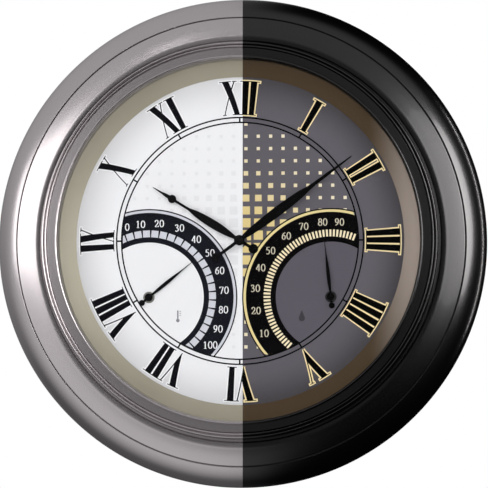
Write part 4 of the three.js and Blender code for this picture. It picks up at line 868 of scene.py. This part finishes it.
def thickPlate(work, outline, back, front, crown):
    # A flat sheet with slightly rounded front edges
    def ring(depth, shrink):
        verts = []
        for i, (x, z) in enumerate(outline):
            before, after = outline[i - 1], outline[(i + 1) % len(outline)]
            tx, tz = after[0] - before[0], after[1] - before[1]
            size = hypot(tx, tz) or 1.0
            verts.append(work.verts.new(at(x - shrink * tz / size, depth, z + shrink * tx / size)))
        return verts
    rows = [ring(back, 0.0), ring(front - crown, 0.0), ring(front, crown)]
    joinRows(work, rows)
    work.faces.new(rows[0][::-1])
    work.faces.new(rows[-1])


# Each hand's shares are of its length, and of half its width there.
pointerSizes = {
    "z": dial["smallZ"], "back": 38.6, "front": 39.2, "length": 52.0, "width": 3.3, "hub": 3.6,
    "tail": 8.2, "tailBall": 2.8, "ball": 0.0, "ballShare": 0.0, "neck": 1.1,
    "shares": [(0.0, 0.5), (0.1, 0.62), (0.22, 0.88), (0.34, 1.0), (0.44, 0.97), (0.56, 0.8),
               (0.68, 0.52), (0.8, 0.28), (0.99, 0.14)]}
handShapes = {
    "hourHandSheet": {
        "node": "hour_hand", "body": "hour_train", "turn": 301.7, "x": 0.0, "z": 0.0,
        "back": 41.0, "front": 41.6, "length": 95.0, "width": 7.9, "hub": 4.8, "tail": 15.2,
        "tailBall": 4.5, "ball": 3.85, "ballShare": 0.775, "neck": 1.45,
        "shares": [(0.0, 0.36), (0.04, 0.36), (0.08, 0.52), (0.12, 0.68), (0.2, 0.92),
                   (0.27, 1.0), (0.35, 0.99), (0.43, 0.88), (0.5, 0.7), (0.56, 0.42),
                   (0.6, 0.31), (0.74, 0.31), (0.83, 0.44), (0.9, 0.22), (0.985, 0.1)]},
    "minuteHandSheet": {
        "node": "minute_hand", "body": "minute_train", "turn": 53.4, "x": 0.0, "z": 0.0,
        "back": 43.7, "front": 44.3, "length": 130.0, "width": 9.0, "hub": 4.8, "tail": 27.0,
        "tailBall": 4.2, "ball": 0.0, "ballShare": 0.0, "neck": 1.45,
        "shares": [(0.0, 0.34), (0.03, 0.36), (0.06, 0.57), (0.1, 0.7), (0.17, 0.84),
                   (0.26, 0.96), (0.36, 1.0), (0.46, 0.92), (0.55, 0.75), (0.61, 0.51),
                   (0.68, 0.36), (0.78, 0.33), (0.84, 0.26), (0.99, 0.12)]},
    "thermoPointerSheet": dict(pointerSizes, node="thermo_pointer", body="thermo_needle",
                               turn=51.0, x=-dial["smallX"]),
    "hygroPointerSheet": dict(pointerSizes, node="hygro_pointer", body="hygro_needle",
                              turn=-6.4, x=dial["smallX"]),
}
plate = {"crown": 0.18, "discCrown": 0.2, "discLift": 0.02, "liftStep": 0.01, "roundSteps": 40,
         "hubSink": 0.3, "hubRise": 0.9, "hubCrown": 0.35, "spindle": 0.8, "spindleSteps": 16,
         "spindleBack": 18.9, "spindleSink": 0.2, "spindleCrown": 0.1}


def makeHand(name, s):
    work = bmesh.new()
    edge = [(z * s["length"], x * s["width"] / 2) for z, x in smoothShares(s["shares"])]
    neck, steps = s["neck"], plate["roundSteps"]
    outline = [(neck, -s["tail"])] + [(x, z) for z, x in edge] + [(0.0, s["length"])]
    outline += [(-x, z) for z, x in reversed(edge)] + [(-neck, -s["tail"])]
    thickPlate(work, outline, s["back"], s["front"], plate["crown"])
    discs = ((s["hub"], 0.0), (s["tailBall"], -s["tail"]),
             (s["ball"], s["ballShare"] * s["length"]))
    lift = plate["discLift"]
    for radius, along in discs:
        if radius:
            thickPlate(work, circle(radius, steps, 0.0, along), s["back"], s["front"] + lift,
                       plate["discCrown"])
            lift += plate["liftStep"]
    if s["node"].endswith("pointer"):  # raised hub and the spindle behind it
        thickPlate(work, circle(s["hub"], steps), s["front"] - plate["hubSink"],
                   s["front"] + plate["hubRise"], plate["hubCrown"])
        thickPlate(work, circle(plate["spindle"], plate["spindleSteps"]), plate["spindleBack"],
                   s["front"] - plate["spindleSink"], plate["spindleCrown"])
    turn = Matrix.Rotation(radians(s["turn"]), 4, "Y")
    shift = Matrix.Translation(Vector(at(s["x"], 0, s["z"])))
    bmesh.ops.transform(work, matrix=shift @ turn, verts=work.verts)
    piece = workPiece(name, work, blackPaint, 30)
    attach(piece, s["body"])
    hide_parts(s["node"])


for handName, handSizes in handShapes.items():
    makeHand(handName, handSizes)

bush = {"hole": 1.1, "outer": 5.3, "thick": 0.5, "roundEdge": 0.2, "gap": 0.02, "steps": 40}


def pivotBush(name, side):
    # thin washer on the dial round a pointer's spindle
    back = clock["dialFront"] + bush["gap"]
    front = back + bush["thick"]
    hole, outer, r = bush["hole"], bush["outer"], bush["roundEdge"]
    outline = [(hole, back), (outer, back), (outer, front - r), (outer - r, front), (hole, front)]
    work = bmesh.new()
    rows = turnedRows(work, outline, bush["steps"], side * dial["smallX"], dial["smallZ"])
    joinRows(work, rows + rows[:1])
    piece = workPiece(name, work, greyBrass)
    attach(piece, "case")


pivotBush("thermometerBush", -1)
pivotBush("hygrometerBush", 1)

cap = {"radius": 3.2, "back": 44.6, "front": 47.0, "dome": 1.6, "tip": 0.05, "steps": 40}
capDome = [(cap["radius"] * cos(radians(a)), cap["front"] - cap["dome"] * (1 - sin(radians(a))))
           for a in range(0, 86, 10)]
capOutline = [(cap["radius"], cap["back"]), *capDome, (cap["tip"], cap["front"])]
capWork = bmesh.new()
capRows = turnedRows(capWork, capOutline, cap["steps"])
joinRows(capWork, capRows)
capWork.faces.new(capRows[0])
capWork.faces.new(capRows[-1][::-1])
capPiece = workPiece("handCapNut", capWork, blackPaint, 40)
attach(capPiece, "minute_train")
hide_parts("hand_cap")
print("hands cut")

# Screws, with their heads towards the wall
coverHead = {"radius": 3.4, "height": 1.8, "recess": 0.9}
hatchHead = {"radius": 3.4, "height": 1.0, "recess": 0.7}
panShares = ((1.0, 0.0), (1.0, 0.45), (0.92, 0.75), (0.7, 0.95), (0.45, 1.0))  # radius, height
screw = {"steps": 32, "armShare": 0.4, "deepShare": 0.75, "shankRadius": 1.5}


def panHead(name, radius, height, recess):
    # A pan head with a cross recess
    work = bmesh.new()
    outline = [(r * radius, -h * height) for r, h in panShares]
    rows = turnedRows(work, outline, screw["steps"])
    joinRows(work, rows)
    # the cross: the arms of the recess, joined to the last ring
    arm, half = radius * screw["armShare"], recess / 2
    cross = []
    for c, s in ((1, 0), (0, 1), (-1, 0), (0, -1)):
        cross += [(x * c - z * s, x * s + z * c)
                  for x, z in ((arm, -half), (arm, half), (half, half))]
    top = [work.verts.new(at(x, -height, z)) for x, z in cross]
    deep = [work.verts.new(at(x * screw["deepShare"], recess - height, z * screw["deepShare"]))
            for x, z in cross]
    edge = [work.edges.new((a, b)) for a, b in zip(top, top[1:] + top[:1])]
    outer = [e for e in work.edges if all(v in rows[-1] for v in e.verts)]
    bmesh.ops.triangle_fill(work, use_beauty=True, edges=edge + outer)
    joinRows(work, [top, deep])
    work.faces.new(deep)
    work.faces.new(rows[0])
    return workPiece(name, work)


def screwTree():
    # One head and shank at each point, each turned a little differently.
    add, given = newTree("screwsAtPoints", {
        "Head": "Object", "Shank": "Float", "ShankRadius": "Float", "Seed": "Int"})
    head = add("GeometryNodeObjectInfo", {"Object": given["Head"]})
    rod = add("GeometryNodeMeshCylinder", {
        "Vertices": 16, "Radius": given["ShankRadius"], "Depth": given["Shank"]})
    half = add("ShaderNodeMath", {0: given["Shank"], 1: -0.5}, operation="MULTIPLY")
    down = add("ShaderNodeCombineXYZ", {1: half})
    laid = add("GeometryNodeTransform", {
        0: rod, "Translation": down, "Rotation": (pi / 2, 0, 0)})
    both = add("GeometryNodeJoinGeometry", {0: laid})
    setInputs(both, {0: head.outputs["Geometry"]})
    chance = add("FunctionNodeRandomValue", {"Seed": given["Seed"]}, data_type="FLOAT")
    spin = add("ShaderNodeMath", {0: chance, 1: pi / 2}, operation="MULTIPLY")
    turn = add("ShaderNodeCombineXYZ", {1: spin})
    copies = add("GeometryNodeInstanceOnPoints", {
        "Points": given["Geometry"], "Instance": both, "Rotation": turn})
    return endTree(add, given, copies)


screws = screwTree()


def setScrews(name, nodes, head, shank, seed):
    places = []
    for node in nodes:
        low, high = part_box(node)
        places.append(((low.x + high.x) / 2, high.y - head["height"] / 1000, (low.z + high.z) / 2))
    headPiece = panHead(name + "Head", head["radius"], head["height"], head["recess"])
    piece = bake(name, meshPiece(name + "Points", places), screws,
                 {"Head": headPiece, "Seed": seed, "Finish": zinc},
                 {"Shank": shank, "ShankRadius": screw["shankRadius"]}, 32)
    bpy.data.objects.remove(headPiece)
    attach(piece, "case")
    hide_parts(*nodes)


setScrews("backScrews", ["back_screw_%d" % i for i in range(1, 7)], coverHead, 16.5, 3)
setScrews("hangerScrews", ["hanger_screw_1", "hanger_screw_2"], coverHead, 4.9, 5)
setScrews("hatchScrews", ["hatch_screw_1", "hatch_screw_2"], hatchHead, 3.9, 8)
print("screws set")

# Studio
studio = {"distance": 3.0, "scale": 0.9345, "width": 488, "sensor": 36.0, "aimX": 1.97,
          "aimZ": -1.24, "floor": -1.3, "floorSize": 9.0, "floorGlow": 0.28}
turn, drop = radians(clock["viewTurn"]), radians(clock["viewDrop"])
away = Vector((sin(turn) * cos(drop), -cos(turn) * cos(drop), -sin(drop)))
cameraData = bpy.data.cameras.new("camera")
cameraData.sensor_width = studio["sensor"]
cameraData.lens = studio["sensor"] * studio["distance"] * 1000 / (studio["scale"] * studio["width"])
camera = link(bpy.data.objects.new("camera", cameraData))
aim = Vector(at(studio["aimX"], caseSizes["edgeDepth"], studio["aimZ"]))
camera.location = aim + away * studio["distance"]
camera.rotation_euler = (-away).to_track_quat("-Z", "Y").to_euler()
bpy.context.scene.camera = camera

# matt pale paper; its glow stands in for light from the whole room
paper = plainMaterial("paleFloor", "#f2f2f2", 0.8, Emission_Color="#ffffff",
                      Emission_Strength=studio["floorGlow"])
half = studio["floorSize"]
floor = meshPiece("floor", [(x * half, y * half, studio["floor"])
                            for x, y in ((-1, -1), (1, -1), (1, 1), (-1, 1))],
                  faces=[(0, 1, 2, 3)], material=paper)
floor.visible_glossy = False  # the gloss of the case mirrors the room alone


def softbox(name, place, size, power, aim=(0, 0, 0), glossy=True, diffuse=True,
            shape="RECTANGLE"):
    data = bpy.data.lights.new(name, "AREA")
    data.shape = shape
    data.size, data.size_y = size
    data.energy = power
    lamp = link(bpy.data.objects.new(name, data))
    lamp.location = place
    lamp.rotation_euler = (Vector(aim) - Vector(place)).to_track_quat("-Z", "Y").to_euler()
    lamp.visible_glossy = glossy
    lamp.visible_diffuse = diffuse
    lamp.visible_camera = False


def bearing(offAxis, clockAngle, reach):
    # a place by degrees off the clock's axis and degrees counterclockwise from three o'clock
    x, z = polar(reach * sin(radians(offAxis)), radians(clockAngle))
    return (x, -reach * cos(radians(offAxis)), z)


softbox("leftSoftbox", bearing(46, 166, 1.7), (1.3, 0.7), 6.5)
softbox("rightSoftbox", bearing(37, 17, 1.8), (1.1, 1.15), 13.5, diffuse=False, shape="ELLIPSE")
softbox("rightCore", bearing(56, 14, 1.8), (0.7, 1.35), 26, diffuse=False, shape="ELLIPSE")
softbox("rimStrip", (1.68, 0.42, 0.25), (0.08, 1.8), 9.5, aim=(0.22, 0, 0.02), diffuse=False)
softbox("sparkle", bearing(35, 114, 1.8), (0.08, 0.05), 0.17, diffuse=False)
softbox("frontFill", (0.3, -3.2, 0.6), (2.0, 2.0), 50, glossy=False)
softbox("backFill", (0.9, 2.6, 1.3), (1.8, 1.8), 60, glossy=False)

world = bpy.data.worlds.new("studio")
bpy.context.scene.world = world
world.use_nodes = True
sky = world.node_tree
sky.nodes.clear()
add = partial(addNode, sky)
seen = add("ShaderNodeLightPath")
white = add("ShaderNodeBackground", {"Color": "#ffffff", "Strength": 1.0})
ray = add("ShaderNodeTexCoord").outputs["Generated"]
axes = add("ShaderNodeSeparateXYZ", {0: ray})
fades = {  # axis of the ray, where the change starts and ends, and the two values
    "lowWall": ("Z", -0.2, 0.5, 0.82, 0.6),
    "facing": ("Y", -0.985, -0.86, 0.26, 1.0),  # darker straight ahead, where the camera stands
    "backWall": ("Z", -0.5, 0.4, 0.14, 0.6),
    "turned": ("Y", -0.75, 0.1, 0.0, 1.0),
    "lower": ("Z", 0.12, -0.02, 0.0, 1.0),
    "behind": ("Y", -0.45, -0.1, 0.0, 1.0),
    "rightHand": ("X", -0.06, 0.1, 0.0, 1.0),
}
room = {}
for fadeName, (axis, *limits) in fades.items():
    room[fadeName] = add("ShaderNodeMapRange",
                         {0: axes.outputs[axis], **dict(enumerate(limits, 1))},
                         interpolation_type="LINEAR" if fadeName == "backWall" else "SMOOTHSTEP")
# a pale room: dimmer behind and below the clock, and a dark cloth below and behind on the right
frontWall = add("ShaderNodeMath", {0: room["lowWall"], 1: room["facing"]}, operation="MULTIPLY")
walls = add("ShaderNodeMix", {0: room["turned"], 2: frontWall, 3: room["backWall"]})
hidden = add("ShaderNodeMath", {0: room["lower"], 1: room["behind"]}, operation="MAXIMUM")
cloth = add("ShaderNodeMath", {0: hidden, 1: room["rightHand"]}, operation="MULTIPLY")
glow = add("ShaderNodeMix", {0: cloth, 2: walls, 3: 0.01})
dim = add("ShaderNodeBackground", {"Color": (0.97, 0.98, 1, 1), "Strength": glow})
pick = add("ShaderNodeMixShader", {0: seen.outputs["Is Camera Ray"], 1: dim, 2: white})
add("ShaderNodeOutputWorld", {0: pick})
bpy.context.scene.view_settings.view_transform = "Standard"
print("studio set")
